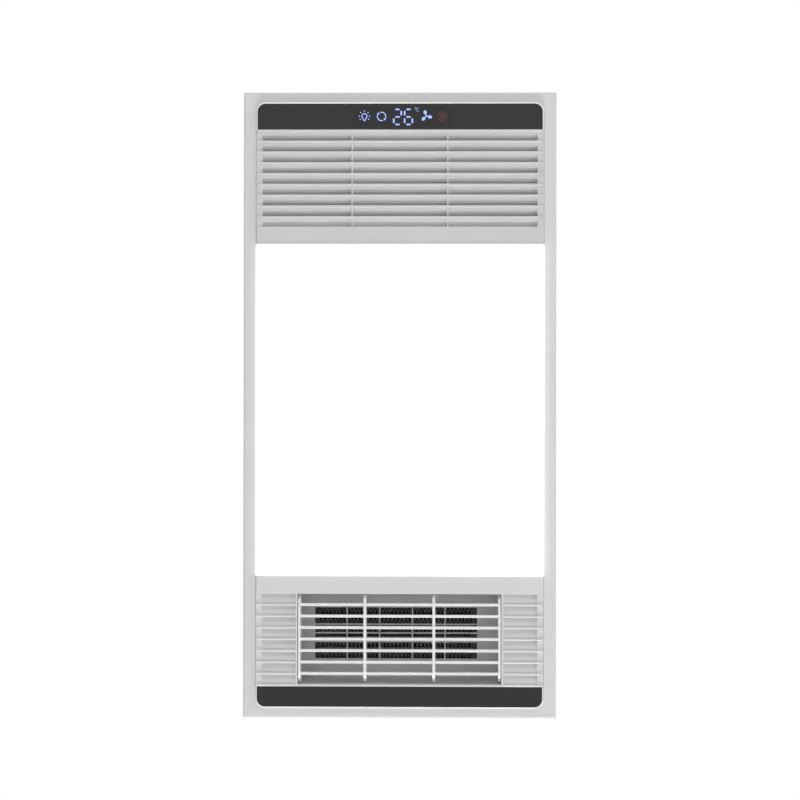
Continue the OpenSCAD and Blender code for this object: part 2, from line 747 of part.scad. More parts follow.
module heater_hood() {
    color([0.35, 0.35, 0.36]) {
        difference() {
            along_y(hood_y0, hood_y1) hood_outline(0);
            along_y(hood_y0 + duct_t, hood_y1 - duct_t) hood_outline(duct_t);
            block([hood_flat_x, hood_y0 - 1, mouth_z0],
                [pass_x1, hood_y0 + duct_t + 1, chamber_z1 - duct_t]);
            // slot for the heater's blades
            block([hood_x - duct_t - 1, swing_y - 22, heater_z + 2], [hood_x + 1, swing_y + 22, heater_top]);
        }
        // flange that is screwed to the housing end
        along_y(hood_y1 - duct_t, in_y) polygon([
            [-60, chamber_z1 - 60], [60, chamber_z1 - 60], [60, chamber_z1 - 60 + duct_t],
            [-60, chamber_z1 - 60 + duct_t]
        ]);
    }
}
// Snap-disc thermostat on the low side of the hood
module thermal_cutout() {
    translate([-hood_x + 13, swing_y, hood_low]) {
        color("silver") cylinder(r = 8, h = 4);
        color([0.15, 0.15, 0.15]) translate([0, 0, 4]) cylinder(r = 7, h = 7);
        color(brass) for (j = [-1, 1]) block([-3, j * 7 - 0.4, 7], [3, j * 7 + 0.4, 16]);
        color("silver") block([-11, -12, 0], [11, 12, 0.8]);
    }
}

// Chamber between the fan, the exhaust spigot and the heater
seat_x = chamber_x1 - duct_t - seat_l;
module spigot_axis(x) {
    translate([x, spigot_y, spigot_z]) rotate([0, 90, 0]) children();
}
module changeover_duct() {
    color([0.35, 0.35, 0.36]) difference() {
        union() {
            difference() {
                block([chamber_x0, chamber_y0, chamber_z0], [chamber_x1, chamber_y1, chamber_z1]);
                block([chamber_x0 + duct_t, chamber_y0 + duct_t, chamber_z0 + duct_t],
                    [chamber_x1 - duct_t, chamber_y1 - duct_t, chamber_z1 - duct_t]);
            }
            spigot_axis(seat_x) cylinder(r = spigot_in + duct_t, h = seat_l + tiny);
        }
        spigot_axis(seat_x - 1) cylinder(r = spigot_in, h = seat_l + duct_t + 2);
        block([mouth_x0 - duct_t, chamber_y0 - 1, scroll_z],
            [mouth_x1 + duct_t, chamber_y0 + duct_t + 1, scroll_top]);
        block([hood_flat_x, chamber_y1 - duct_t - 1, mouth_z0],
            [pass_x1, chamber_y1 + 1, chamber_z1 - duct_t]);
        for (z = [chamber_z0 - 1, chamber_z1 - duct_t - 1]) translate([flap_x, flap_y, z])
            cylinder(r = flap_pin_r + 3, h = duct_t + 2);
    }
}
module changeover_flap() {
    z0 = chamber_z0 + duct_t + 1;
    z1 = chamber_z1 - duct_t - 1;
    color(white) {
        difference() {
            block([flap_x - flap_t / 2, flap_y - flap_l, z0], [flap_x + flap_t / 2, flap_y, z1]);
            // lightening grooves between stiffening ribs
            for (i = [0:3]) translate([flap_x - flap_t / 2 - 1, flap_y - flap_l + 8 + i * 23, z0 + 8])
                cube([1.6, 17, z1 - z0 - 16]);
        }
        translate([flap_x, flap_y, chamber_z0 - 2])
            cylinder(r = flap_pin_r, h = chamber_z1 + 10 - chamber_z0 + 2);
        translate([flap_x, flap_y, z0]) cylinder(r = flap_pin_r + 1.5, h = z1 - z0);
    }
}
module changeover_bush() {
    color(grey) for (z = [chamber_z0 - 1, chamber_z1 - duct_t]) translate([flap_x, flap_y, z])
        difference() {
            cylinder(r = flap_pin_r + 3, h = duct_t + (z < chamber_z0 ? 1 : 0));
            translate([0, 0, -1]) cylinder(r = flap_pin_r + run_gap, h = duct_t + 3);
        }
}
module changeover_motor() {
    color("silver") translate([flap_x, flap_y, chamber_z1]) rotate([0, 0, 180])
        stepper(flap_pin_r + run_gap, 12);
}

// Scroll casing: the wall moves out at a steady rate from the tongue to the mouth
function spiral(g) = [for (a = [0:6:360])
    let (r = scroll_r0 + scroll_grow * a / 360 + g) [fan_x + r * cos(a), fan_y + r * sin(a)]];
module scroll_plan(g) {
    union() {
        polygon(spiral(g));
        translate([mouth_x0 - g, fan_y]) square([mouth_x1 - mouth_x0 + 2 * g, fan_back + duct_t]);
    }
}
module fan_axis(z) {
    translate([fan_x, fan_y, z]) children();
}
module scroll_casing() {
    color([0.35, 0.35, 0.36]) difference() {
        translate([0, 0, scroll_z]) linear_extrude(scroll_h) scroll_plan(duct_t);
        difference() {
            translate([0, 0, mouth_z0]) linear_extrude(mouth_z1 - mouth_z0) union() {
                scroll_plan(0);
                translate([mouth_x0, chamber_y0 - 5]) square([mouth_x1 - mouth_x0, 10]);
            }
        }
        fan_axis(scroll_z - 1) cylinder(r = inlet_r, h = duct_t + 2);
        fan_axis(scroll_top - duct_t - 1) cylinder(r = 14, h = duct_t + 2);
        for (a = [45:90:315]) fan_axis(scroll_top - duct_t - 1) rotate(a)
            translate([foot_r, 0, 0]) cylinder(r = screw_r + 0.2, h = duct_t + 2);
    }
}
foot_r = motor_r + 8;
// Bell mouth that leads the air into the wheel
module inlet_ring() {
    color([0.25, 0.25, 0.26]) fan_axis(0) rotate_extrude($fn = 72) polygon(concat(
        [[inlet_r + 8, scroll_z - 1.4], [inlet_r + 8, scroll_z], [inlet_r, scroll_z]],
        [[inlet_r, scroll_z + 5], [inlet_r - 1.4, scroll_z + 5]],
        [for (a = [0:15:90]) [inlet_r - 1.4 + 5 * (1 - cos(a)), scroll_z + 3.6 - 5 * sin(a)]]
    ));
}

// Forward-curved wheel: blades between a bottom ring and a back plate
function blade_pt(t, side) =
    let (r = wheel_r - blade_depth + t * blade_depth, a = -14 * sin(90 * t) + 14 * t * t * 2)
    [r * cos(a) , r * sin(a) + side * 0.45];
module blower_wheel() {
    steps = 4;
    color([0.75, 0.76, 0.77]) fan_axis(wheel_z) {
        for (i = [0:blades - 1]) rotate(i * 360 / blades) linear_extrude(wheel_h - 1) polygon(concat(
            [for (k = [0:steps]) blade_pt(k / steps, -1)],
            [for (k = [steps:-1:0]) blade_pt(k / steps, 1)]
        ));
        difference() {
            cylinder(r = wheel_r, h = 2.5);
            translate([0, 0, -1]) cylinder(r = wheel_r - blade_depth + 1, h = 5);
        }
        difference() {
            union() {
                translate([0, 0, wheel_h - 2]) cylinder(r = wheel_r, h = 2);
                translate([0, 0, wheel_h - 24]) cylinder(r = 9, h = 24);
                translate([0, 0, wheel_h - 6]) cylinder(r1 = 10, r2 = 22, h = 5);
            }
            translate([0, 0, wheel_h - 30]) cylinder(r = shaft_r, h = 40);
        }
    }
}
nut_h = 5;
module wheel_nut() {
    color(zinc) fan_axis(wheel_z + wheel_h - 24 - nut_h) difference() {
        cylinder(r = 7, h = nut_h, $fn = 6);
        translate([0, 0, -1]) cylinder(r = shaft_r, h = nut_h + 2);
    }
}
module motor_shaft() {
    z0 = wheel_z + wheel_h - 24 - nut_h - 3;
    color("silver") fan_axis(z0) cylinder(r = shaft_r, h = motor_z + motor_h - 4 - z0);
}
bearing_r = 9;
bearing_h = 5;
bearing_z = [motor_z + 2, motor_z + motor_h - 10];
// Motor: flange with four ears, laminated stack and two end bells
module fan_motor() {
    fan_axis(motor_z) difference() {
        union() {
            color("silver") cylinder(r = motor_r - 4, h = 2);
            color("silver") for (a = [45:90:315]) rotate(a) {
                block([20, -6, 0], [foot_r, 6, 2]);
                translate([foot_r, 0, 0]) cylinder(r = 6, h = 2);
            }
            color("silver") cylinder(r = motor_r - 3, h = 9);
            color([0.4, 0.4, 0.42]) translate([0, 0, 9]) cylinder(r = motor_r, h = 14);
            color("silver") translate([0, 0, 23]) cylinder(r = motor_r - 3, h = 5);
            color("silver") cylinder(r = 16, h = motor_h);
        }
        translate([0, 0, -1]) cylinder(r = shaft_r + 1, h = motor_h - 2);
        for (z = bearing_z) translate([0, 0, z - motor_z]) cylinder(r = bearing_r, h = bearing_h);
        for (a = [45:90:315]) rotate(a) translate([foot_r, 0, -1]) cylinder(r = screw_r + 0.2, h = 4);
    }
}
module motor_bearings() {
    color([0.6, 0.62, 0.64]) for (z = bearing_z) fan_axis(z) difference() {
        cylinder(r = bearing_r, h = bearing_h);
        translate([0, 0, -1]) cylinder(r = shaft_r + run_gap, h = bearing_h + 2);
    }
}
module motor_feet() {
    color([0.1, 0.1, 0.1]) for (a = [45:90:315]) fan_axis(scroll_top) rotate(a)
        translate([foot_r, 0, 0]) difference() {
            cylinder(r = 6, h = foot_h);
            translate([0, 0, -1]) cylinder(r = screw_r + 0.2, h = foot_h + 2);
        }
}
module motor_screws() {
    color(zinc) for (a = [45:90:315]) fan_axis(motor_z + 2) rotate(a) translate([foot_r, 0, 0])
        screw(screw_r, foot_h + duct_t + 2, 3.2, 2);
}
bracket_r = scroll_r0 - 5;
module blower_brackets() {
    w = 8;
    color(zinc) for (a = [0:90:270]) fan_axis(0) rotate(a) difference() {
        union() {
            block([bracket_r - 9, -w, scroll_top], [bracket_r + 3, w, scroll_top + 1.5]);
            block([bracket_r - 10.5, -w, scroll_top], [bracket_r - 9, w, roof_z]);
            block([bracket_r - 9 - tiny, -w, roof_z - 1.5], [bracket_r + 3, w, roof_z]);
        }
        translate([bracket_r - 3, 0, roof_z - 3]) cylinder(r = screw_r, h = 4);
    }
}

// Housing: folded sheet box, open below, with an out-turned lip that is fixed to the ceiling
lip_x = housing_w / 2 + ceiling_lip;
lip_y = housing_l / 2 + ceiling_lip;
box_y0 = 20;
box_z0 = housing_h - 86;
// Beads on the roof: one at each end, one halfway to the fan screws, and three more at the outlet end
bead_end = housing_l / 2 - 14;
bead_pitch = 36;
bead_y = [
    -bead_end, (fan_y - bracket_r + 3 - bead_end) / 2, bead_end - 3 * bead_pitch,
    bead_end - 2 * bead_pitch, bead_end - bead_pitch, bead_end
];
module housing() {
    color(zinc) difference() {
        union() {
            difference() {
                block([-housing_w / 2, -housing_l / 2, -sheet], [housing_w / 2, housing_l / 2, housing_h]);
                block([port_x, port_y0, 0], [lip_x, port_y1, housing_h + 1]);
            }
            block([-lip_x, -lip_y, -sheet], [lip_x, lip_y, 0]);
            // raised stiffening beads on the roof
            for (y = bead_y) translate([0, y, housing_h])
                along_x(-95, 95) polygon([[-5, -tiny], [-3, 1.5], [3, 1.5], [5, -tiny]]);
        }
        difference() {
            block([-in_x, -in_y, -sheet - 1], [in_x, in_y, roof_z]);
            block([port_x - sheet, port_y0 - sheet, -sheet], [lip_x, port_y1 + sheet, housing_h]);
        }
        for (i = [-1, 1], j = [-1, 1]) translate([i * fix_x / 2, j * fix_y / 2, -sheet - 1])
            cylinder(r = fix_r, h = sheet + 2);
        spigot_axis(port_x - sheet - 1) cylinder(r = spigot_in, h = sheet + 2);
        // cooling slots over the motor
        for (i = [-4:4]) translate([fan_x, fan_y + i * 8, roof_z - 1]) union() {
            block([-20, -1.5, 0], [20, 1.5, sheet + 2]);
            for (x = [-20, 20]) translate([x, 0, 0]) cylinder(r = 1.5, h = sheet + 2);
        }
        // way for the wires into the terminal box
        translate([-in_x + 1, box_y0 + box_l / 2, box_z0 + box_h / 2]) rotate([0, -90, 0])
            cylinder(r = 10, h = sheet + 2);
        for (j = [-1, 1]) translate([-in_x + 1, box_y0 + box_l / 2 + j * (box_l / 2 - 8), box_z0 + 8])
            rotate([0, -90, 0]) cylinder(r = screw_r, h = sheet + 2);
        for (p = spigot_screw_yz) translate([port_x - sheet - 1, p[0], p[1]]) rotate([0, 90, 0])
            cylinder(r = screw_r, h = sheet + 2);
        bracket_places() translate([2, 0, 0]) rotate([0, -90, 0]) cylinder(r = screw_r + 0.5, h = 4);
        roof_screw_places() translate([0, 0, -4]) cylinder(r = screw_r, h = 5);
    }
}
// Places of the screws that hold the fan brackets and the board posts to the roof
module roof_screw_places() {
    for (a = [0:90:270]) fan_axis(housing_h) rotate(a) translate([bracket_r - 3, 0, 0]) children();
    for (p = post_xy) translate([p[0], p[1], housing_h]) children();
}
module housing_screws() {
    color(zinc) roof_screw_places() screw(screw_r, 4.2, 3, 1.6);
}

// Exhaust spigot with a stop ring for the two leaves of its backdraft valve
flange_half = spigot_r + 9;
spigot_x = port_x + seal_t;
port_y0 = spigot_y - flange_half - 6;
port_y1 = spigot_y + flange_half + 6;
spigot_screw_yz = [for (i = [-1, 1], j = [-1, 1])
    [spigot_y + i * (flange_half - 6), spigot_z + j * (flange_half - 6)]];
module exhaust_spigot() {
    color(white) difference() {
        union() {
            translate([spigot_x, spigot_y, spigot_z]) rotate([90, 0, 90]) linear_extrude(flange_t)
                round_plan(flange_half, flange_half, 8);
            spigot_axis(spigot_x) cylinder(r = spigot_r, h = spigot_l, $fn = 96);
        }
        difference() {
            spigot_axis(spigot_x - 1) cylinder(r = spigot_in, h = spigot_l + 2, $fn = 96);
            spigot_axis(valve_x - leaf_t / 2 - 2.3) difference() {
                cylinder(r = spigot_in + 1, h = 2);
                translate([0, 0, -1]) cylinder(r = spigot_in - 2, h = 4);
            }
        }
        translate([valve_x, spigot_y, spigot_z - spigot_r - 1])
            cylinder(r = valve_pin_r, h = 2 * spigot_r + 2);
        for (p = spigot_screw_yz) translate([spigot_x - 1, p[0], p[1]]) rotate([0, 90, 0])
            cylinder(r = screw_r + 0.2, h = flange_t + 2);
    }
}
module spigot_seal() {
    color([0.1, 0.1, 0.1]) difference() {
        spigot_axis(spigot_x - seal_t) cylinder(r = spigot_r + 6, h = seal_t);
        spigot_axis(spigot_x - seal_t - 1) cylinder(r = spigot_in, h = seal_t + 2);
    }
}
module spigot_screws() {
    color(zinc) for (p = spigot_screw_yz) translate([spigot_x + flange_t, p[0], p[1]])
        rotate([0, 90, 0]) screw(screw_r, flange_t + seal_t + sheet, 2.9, 1.8);
}
knuckle_r = 2.4;
leaf_y = knuckle_r + 0.5;
knuckle_z = [-43.5, -20, 20, 43.5];
module valve_leaf(side, spans) {
    color([0.25, 0.25, 0.26]) translate([valve_x, spigot_y, spigot_z]) difference() {
        union() {
            intersection() {
                translate([-leaf_t / 2, 0, 0]) rotate([0, 90, 0]) cylinder(r = leaf_r, h = leaf_t, $fn = 96);
                translate([-5, side > 0 ? leaf_y : -leaf_y - 60, -60]) cube([10, 60, 120]);
            }
            for (s = spans) {
                translate([0, 0, s[0]]) cylinder(r = knuckle_r, h = s[1] - s[0]);
                translate([-leaf_t / 2, side > 0 ? 0 : -leaf_y - 0.5, s[0]])
                    cube([leaf_t, leaf_y + 0.5, s[1] - s[0]]);
            }
        }
        for (s = spans) translate([0, 0, s[0] - 1])
            cylinder(r = valve_pin_r + run_gap, h = s[1] - s[0] + 2);
    }
}
module valve_leaf_front() {
    valve_leaf(-1, [[knuckle_z[0], knuckle_z[1] - 0.3], [knuckle_z[2] + 0.3, knuckle_z[3]]]);
}
module valve_leaf_rear() {
    valve_leaf(1, [[knuckle_z[1] + 0.3, knuckle_z[2] - 0.3]]);
}
module valve_pin() {
    color("silver") translate([valve_x, spigot_y, spigot_z - spigot_r]) union() {
        cylinder(r = valve_pin_r, h = 2 * spigot_r);
    }
}

// Terminal box outside the housing, with a lid and a grommet for the supply cable
box_x = -housing_w / 2;
box_wall = 2;
grommet_r = cable_r + 2;
grommet_x = box_x - box_d / 2;
grommet_z = box_z0 + box_h / 2;
module terminal_box() {
    color(white) difference() {
        block([box_x - box_d, box_y0, box_z0], [box_x, box_y0 + box_l, box_z0 + box_h]);
        block([box_x - box_d - 1, box_y0 + box_wall, box_z0 + box_wall],
            [box_x - box_wall, box_y0 + box_l - box_wall, box_z0 + box_h - box_wall]);
        translate([grommet_x, box_y0 - 1, grommet_z]) rotate([-90, 0, 0])
            cylinder(r = grommet_r, h = box_wall + 2);
        translate([box_x + 1, box_y0 + box_l / 2, grommet_z]) rotate([0, -90, 0])
            cylinder(r = 10, h = box_wall + 2);
        for (j = [-1, 1]) translate([box_x + 1, box_y0 + box_l / 2 + j * (box_l / 2 - 8), box_z0 + 8])
            rotate([0, -90, 0]) cylinder(r = screw_r, h = box_wall + 2);
    }
    // posts for the lid screws
    color(white) for (p = lid_screw_yz) translate([box_x - box_d + 0.1, p[0], p[1]]) rotate([0, 90, 0])
        difference() {
            cylinder(r = 4, h = box_d - box_wall);
            translate([0, 0, -1]) cylinder(r = screw_r, h = 12);
        }
}
lid_t = 1.5;
lid_screw_yz = [[box_y0 + 6, box_z0 + box_h - 6], [box_y0 + box_l - 6, box_z0 + box_h - 6],
    [box_y0 + box_l - 6, box_z0 + 20]];
module terminal_lid() {
    x = box_x - box_d;
    color(white) difference() {
        block([x - lid_t, box_y0, box_z0], [x, box_y0 + box_l, box_z0 + box_h]);
        for (p = lid_screw_yz) translate([x - lid_t - 1, p[0], p[1]]) rotate([0, 90, 0])
            cylinder(r = screw_r + 0.2, h = lid_t + 2);
    }
}
module terminal_screws() {
    color(zinc) for (p = lid_screw_yz) translate([box_x - box_d - lid_t, p[0], p[1]])
        rotate([0, -90, 0]) screw(screw_r, 9, 2.8, 1);
    color(zinc) for (j = [-1, 1])
        translate([box_x - box_wall, box_y0 + box_l / 2 + j * (box_l / 2 - 8), box_z0 + 8])
            rotate([0, -90, 0]) screw(screw_r, box_wall + sheet, 2.8, 1.6);
}
ways = 5;
module terminal_block() {
    w = 8.5;
    y0 = box_y0 + box_l / 2 - ways * w / 2;
    x1 = box_x - box_wall;
    color([0.92, 0.92, 0.88]) difference() {
        for (i = [0:ways - 1])
            block([x1 - 11, y0 + i * w + 0.4, box_z0 + 8], [x1, y0 + (i + 1) * w - 0.4 + 0.8, box_z0 + 24]);
        for (i = [0:ways - 1], z = [12.5, 19.5]) translate([x1 - 12, y0 + (i + 0.5) * w + 0.4, box_z0 + z])
            rotate([0, 90, 0]) cylinder(r = 1.6, h = 9);
        for (i = [0:ways - 1]) translate([x1 - 6, y0 + (i + 0.5) * w + 0.4, box_z0 + 7])
            cylinder(r = 1.8, h = 18);
    }
}
module cable_grommet() {
    color([0.08, 0.08, 0.08]) translate([grommet_x, box_y0, grommet_z]) rotate([-90, 0, 0]) difference() {
        union() {
            cylinder(r = grommet_r - 0.1, h = box_wall);
            translate([0, 0, -3]) cylinder(r = grommet_r + 1.5, h = 3);
            translate([0, 0, box_wall]) cylinder(r = box_d / 2 - box_wall - 0.15, h = 1.5);
        }
        translate([0, 0, -4]) cylinder(r = cable_r, h = box_wall + 8);
    }
}

// Control board under the roof, hung on four posts
board_x0 = -in_x + 10;
board_x1 = chamber_x0 - 8;
board_y0 = 60;
board_y1 = 170;
board_z = roof_z - 12;
board_t = 1.6;
post_xy = [for (x = [board_x0 + 5, board_x1 - 5], y = [board_y0 + 5, board_y1 - 5]) [x, y]];
module control_board() {
    color(green) difference() {
        block([board_x0, board_y0, board_z - board_t], [board_x1, board_y1, board_z]);
        for (p = post_xy) translate([p[0], p[1], board_z - board_t - 1]) cylinder(r = 1.6, h = 4);
    }
}
module board_standoffs() {
    color(brass) for (p = post_xy) translate([p[0], p[1], board_z]) difference() {
        cylinder(r = 3, h = roof_z - board_z, $fn = 6);
        translate([0, 0, roof_z - board_z - 5]) cylinder(r = screw_r, h = 6);
    }
}
part_pitch = (board_x1 - board_x0 - 26) / 4;
module board_components() {
    z = board_z - board_t;
    x = board_x0 + 12;
    w = part_pitch - 4;
    // relays, transformer, capacitors and plug sockets
    color([0.1, 0.3, 0.65]) for (i = [0:3])
        block([x + i * part_pitch, board_y0 + 14, z - 15], [x + i * part_pitch + w, board_y0 + 33, z]);
    color([0.85, 0.7, 0.2]) block([x, board_y0 + 50, z - 22], [x + 2 * w, board_y0 + 78, z]);
    color([0.15, 0.15, 0.2]) for (i = [0:1])
        translate([x + 2.5 * part_pitch + i * part_pitch, board_y0 + 60, z - 20]) cylinder(r = w / 2, h = 20);
    color("white") for (i = [0:3])
        block([x + 2 + i * part_pitch, board_y1 - 18, z - 9], [x + 2 + i * part_pitch + w, board_y1 - 9, z]);
}
cap_y = hang_y / 2 - 43;
cap_z = roof_z - 57;
module run_capacitor() {
    color([0.92, 0.92, 0.9]) translate([-in_x, cap_y, cap_z]) {
        cube([20, 38, 30]);
        for (i = [0, 1]) translate([9, 8 + i * 16, 30 - tiny]) cube([0.8, 6, 10]);
    }
}

// Four ears on the long sides for hanging rods
ear_z = housing_h - 28;
ear_w = 11;
ear_t = 1.5;
ear_reach = 19;
module bracket_places() {
    for (i = [-1, 1], j = [-1, 1], z = [ear_z - 17, ear_z - 8])
        translate([0, j * hang_y / 2, z]) mirror([i < 0 ? 1 : 0, 0, 0])
            translate([housing_w / 2, 0, 0]) children();
}
module hanging_brackets() {
    color(zinc) for (j = [-1, 1]) both_x() translate([housing_w / 2, j * hang_y / 2, 0]) difference() {
        union() {
            block([0, -ear_w, ear_z - 24], [ear_t, ear_w, ear_z]);
            block([0, -ear_w, ear_z - ear_t], [ear_reach, ear_w, ear_z]);
            for (k = [-1, 1]) along_y_rib(k * (ear_w - 0.8));
        }
        translate([ear_reach - 7, 0, ear_z - ear_t - 1]) cylinder(r = hang_r, h = ear_t + 2);
        for (z = [ear_z - 17, ear_z - 8]) translate([-1, 0, z]) rotate([0, 90, 0])
            cylinder(r = screw_r + 0.5, h = ear_t + 2);
    }
}
module along_y_rib(y) {
    along_y(y - 0.75, y + 0.75) polygon([
        [ear_t - tiny, ear_z - 20], [ear_t - tiny, ear_z - tiny], [ear_reach - 4, ear_z - ear_t]
    ]);
}
module bracket_screws() {
    color(zinc) for (j = [-1, 1], z = [ear_z - 17, ear_z - 8]) both_x()
        translate([housing_w / 2 + ear_t, j * hang_y / 2, z]) rotate([0, 90, 0])
            screw(screw_r + 0.5, ear_t + sheet + 0.8, 3.2, 1.8);
}

face_frame();
intake_grille();
outlet_grille();
display_window();
lower_window();
light_diffuser();
light_tray();
led_boards();
led_driver();
display_board();
display_module();
panel_clips();
panel_screws();
swing_grille();
swing_bush();
swing_motor();
swing_motor_shaft();
swing_motor_screws();
outlet_duct();
heater_guard();
heater_tubes();
heater_fins();
heater_end_caps();
heater_terminals();
thermal_cutout();
heater_hood();
changeover_duct();
changeover_flap();
changeover_bush();
changeover_motor();
scroll_casing();
inlet_ring();
blower_wheel();
wheel_nut();
motor_shaft();
fan_motor();
motor_bearings();
motor_feet();
motor_screws();
blower_brackets();
housing();
housing_screws();
exhaust_spigot();
spigot_seal();
spigot_screws();
valve_leaf_front();
valve_leaf_rear();
valve_pin();
terminal_box();
terminal_lid();
terminal_block();
terminal_screws();
cable_grommet();
control_board();
board_components();
board_standoffs();
run_capacitor();
hanging_brackets();
bracket_screws();
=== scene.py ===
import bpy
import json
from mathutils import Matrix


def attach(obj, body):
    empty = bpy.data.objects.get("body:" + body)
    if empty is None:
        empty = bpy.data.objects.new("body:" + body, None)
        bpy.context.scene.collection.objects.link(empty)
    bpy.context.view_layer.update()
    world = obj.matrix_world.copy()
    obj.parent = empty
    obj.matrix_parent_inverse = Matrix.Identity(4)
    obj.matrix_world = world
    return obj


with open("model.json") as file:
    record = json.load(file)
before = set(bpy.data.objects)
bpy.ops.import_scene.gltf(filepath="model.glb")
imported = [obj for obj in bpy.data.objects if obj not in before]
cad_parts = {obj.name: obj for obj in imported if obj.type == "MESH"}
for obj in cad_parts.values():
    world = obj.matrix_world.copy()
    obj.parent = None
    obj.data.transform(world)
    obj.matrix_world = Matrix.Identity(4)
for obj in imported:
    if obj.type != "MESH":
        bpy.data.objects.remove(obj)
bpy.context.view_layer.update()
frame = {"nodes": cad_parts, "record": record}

import bpy, bmesh, json, math
from mathutils import Vector, Matrix

MM = 0.001
nodes = frame["nodes"]


# Materials
def new_mat(name):
    m = bpy.data.materials.new(name)
    m.use_nodes = True
    nt = m.node_tree
    b = nt.nodes["Principled BSDF"]
    co = nt.nodes.new("ShaderNodeTexCoord").outputs["Object"]
    return m, nt, b, co


def noise(nt, co, scale, detail=3.0, rough=0.5, stretch=None):
    if stretch:
        mp = nt.nodes.new("ShaderNodeMapping")
        mp.inputs["Scale"].default_value = stretch
        nt.links.new(co, mp.inputs["Vector"])
        co = mp.outputs["Vector"]
    n = nt.nodes.new("ShaderNodeTexNoise")
    n.inputs["Scale"].default_value = scale
    n.inputs["Detail"].default_value = detail
    n.inputs["Roughness"].default_value = rough
    nt.links.new(co, n.inputs["Vector"])
    return n.outputs["Fac"]


def ramp(nt, fac, stops):
    r = nt.nodes.new("ShaderNodeValToRGB")
    e = r.color_ramp.elements
    while len(e) < len(stops):
        e.new(0.5)
    for el, (p, c) in zip(e, stops):
        el.position = p
        el.color = (*c, 1.0)
    nt.links.new(fac, r.inputs["Fac"])
    return r.outputs["Color"]


def scaled(c, k):
    return tuple(min(1.0, v * k) for v in c)


def bump(nt, b, height, strength, distance):
    n = nt.nodes.new("ShaderNodeBump")
    n.inputs["Strength"].default_value = strength
    n.inputs["Distance"].default_value = distance
    nt.links.new(height, n.inputs["Height"])
    nt.links.new(n.outputs["Normal"], b.inputs["Normal"])


def moulded(name, base, rough=0.4, var=0.02, grain=1800, depth=0.00003, spec=0.45, coat=0.0, cloud=25):
    """Moulded plastic: faint flow marks in the colour, a fine spark-eroded grain and uneven gloss."""
    m, nt, b, co = new_mat(name)
    c = ramp(nt, noise(nt, co, cloud, 4), [(0.3, scaled(base, 1 - var)), (0.7, scaled(base, 1 + var))])
    nt.links.new(c, b.inputs["Base Color"])
    r = ramp(nt, noise(nt, co, cloud * 3, 3), [(0.3, (rough - 0.05,) * 3), (0.7, (rough + 0.05,) * 3)])
    nt.links.new(r, b.inputs["Roughness"])
    bump(nt, b, noise(nt, co, grain, 2), 0.35, depth)
    b.inputs["Specular IOR Level"].default_value = spec
    b.inputs["Coat Weight"].default_value = coat
    b.inputs["Coat Roughness"].default_value = 0.12
    return m


def metal(name, base, rough=0.35, brushed=(1, 1, 1), scale=400, depth=0.00002, var=0.06):
    """Plain metal with drawn or turned marks."""
    m, nt, b, co = new_mat(name)
    n = noise(nt, co, scale, 4, 0.6, brushed)
    c = ramp(nt, n, [(0.25, scaled(base, 1 - var)), (0.75, scaled(base, 1 + var))])
    nt.links.new(c, b.inputs["Base Color"])
    r = ramp(nt, n, [(0.25, (rough - 0.08,) * 3), (0.75, (rough + 0.1,) * 3)])
    nt.links.new(r, b.inputs["Roughness"])
    b.inputs["Metallic"].default_value = 1.0
    bump(nt, b, n, 0.3, depth)
    return m


def galvanised(name):
    """Zinc-coated sheet: large spangle with its own shade and gloss in each crystal."""
    m, nt, b, co = new_mat(name)
    v = nt.nodes.new("ShaderNodeTexVoronoi")
    v.inputs["Scale"].default_value = 130
    v.inputs["Randomness"].default_value = 1.0
    nt.links.new(co, v.inputs["Vector"])
    sep = nt.nodes.new("ShaderNodeSeparateColor")
    nt.links.new(v.outputs["Color"], sep.inputs["Color"])
    c = ramp(nt, sep.outputs["Red"], [(0.0, (0.31, 0.32, 0.33)), (0.5, (0.37, 0.38, 0.39)),
                                      (1.0, (0.44, 0.447, 0.455))])
    nt.links.new(c, b.inputs["Base Color"])
    r = ramp(nt, sep.outputs["Green"], [(0.0, (0.32,) * 3), (1.0, (0.52,) * 3)])
    nt.links.new(r, b.inputs["Roughness"])
    b.inputs["Metallic"].default_value = 0.9
    bump(nt, b, noise(nt, co, 900, 3), 0.25, 0.00002)
    return m


def emit(name, colour, strength):
    m, nt, b, co = new_mat(name)
    b.inputs["Base Color"].default_value = (*scaled(colour, 0.3), 1)
    c = ramp(nt, noise(nt, co, 900, 2), [(0.2, scaled(colour, 0.92)), (0.8, colour)])
    nt.links.new(c, b.inputs["Emission Color"])
    b.inputs["Emission Strength"].default_value = strength
    return m


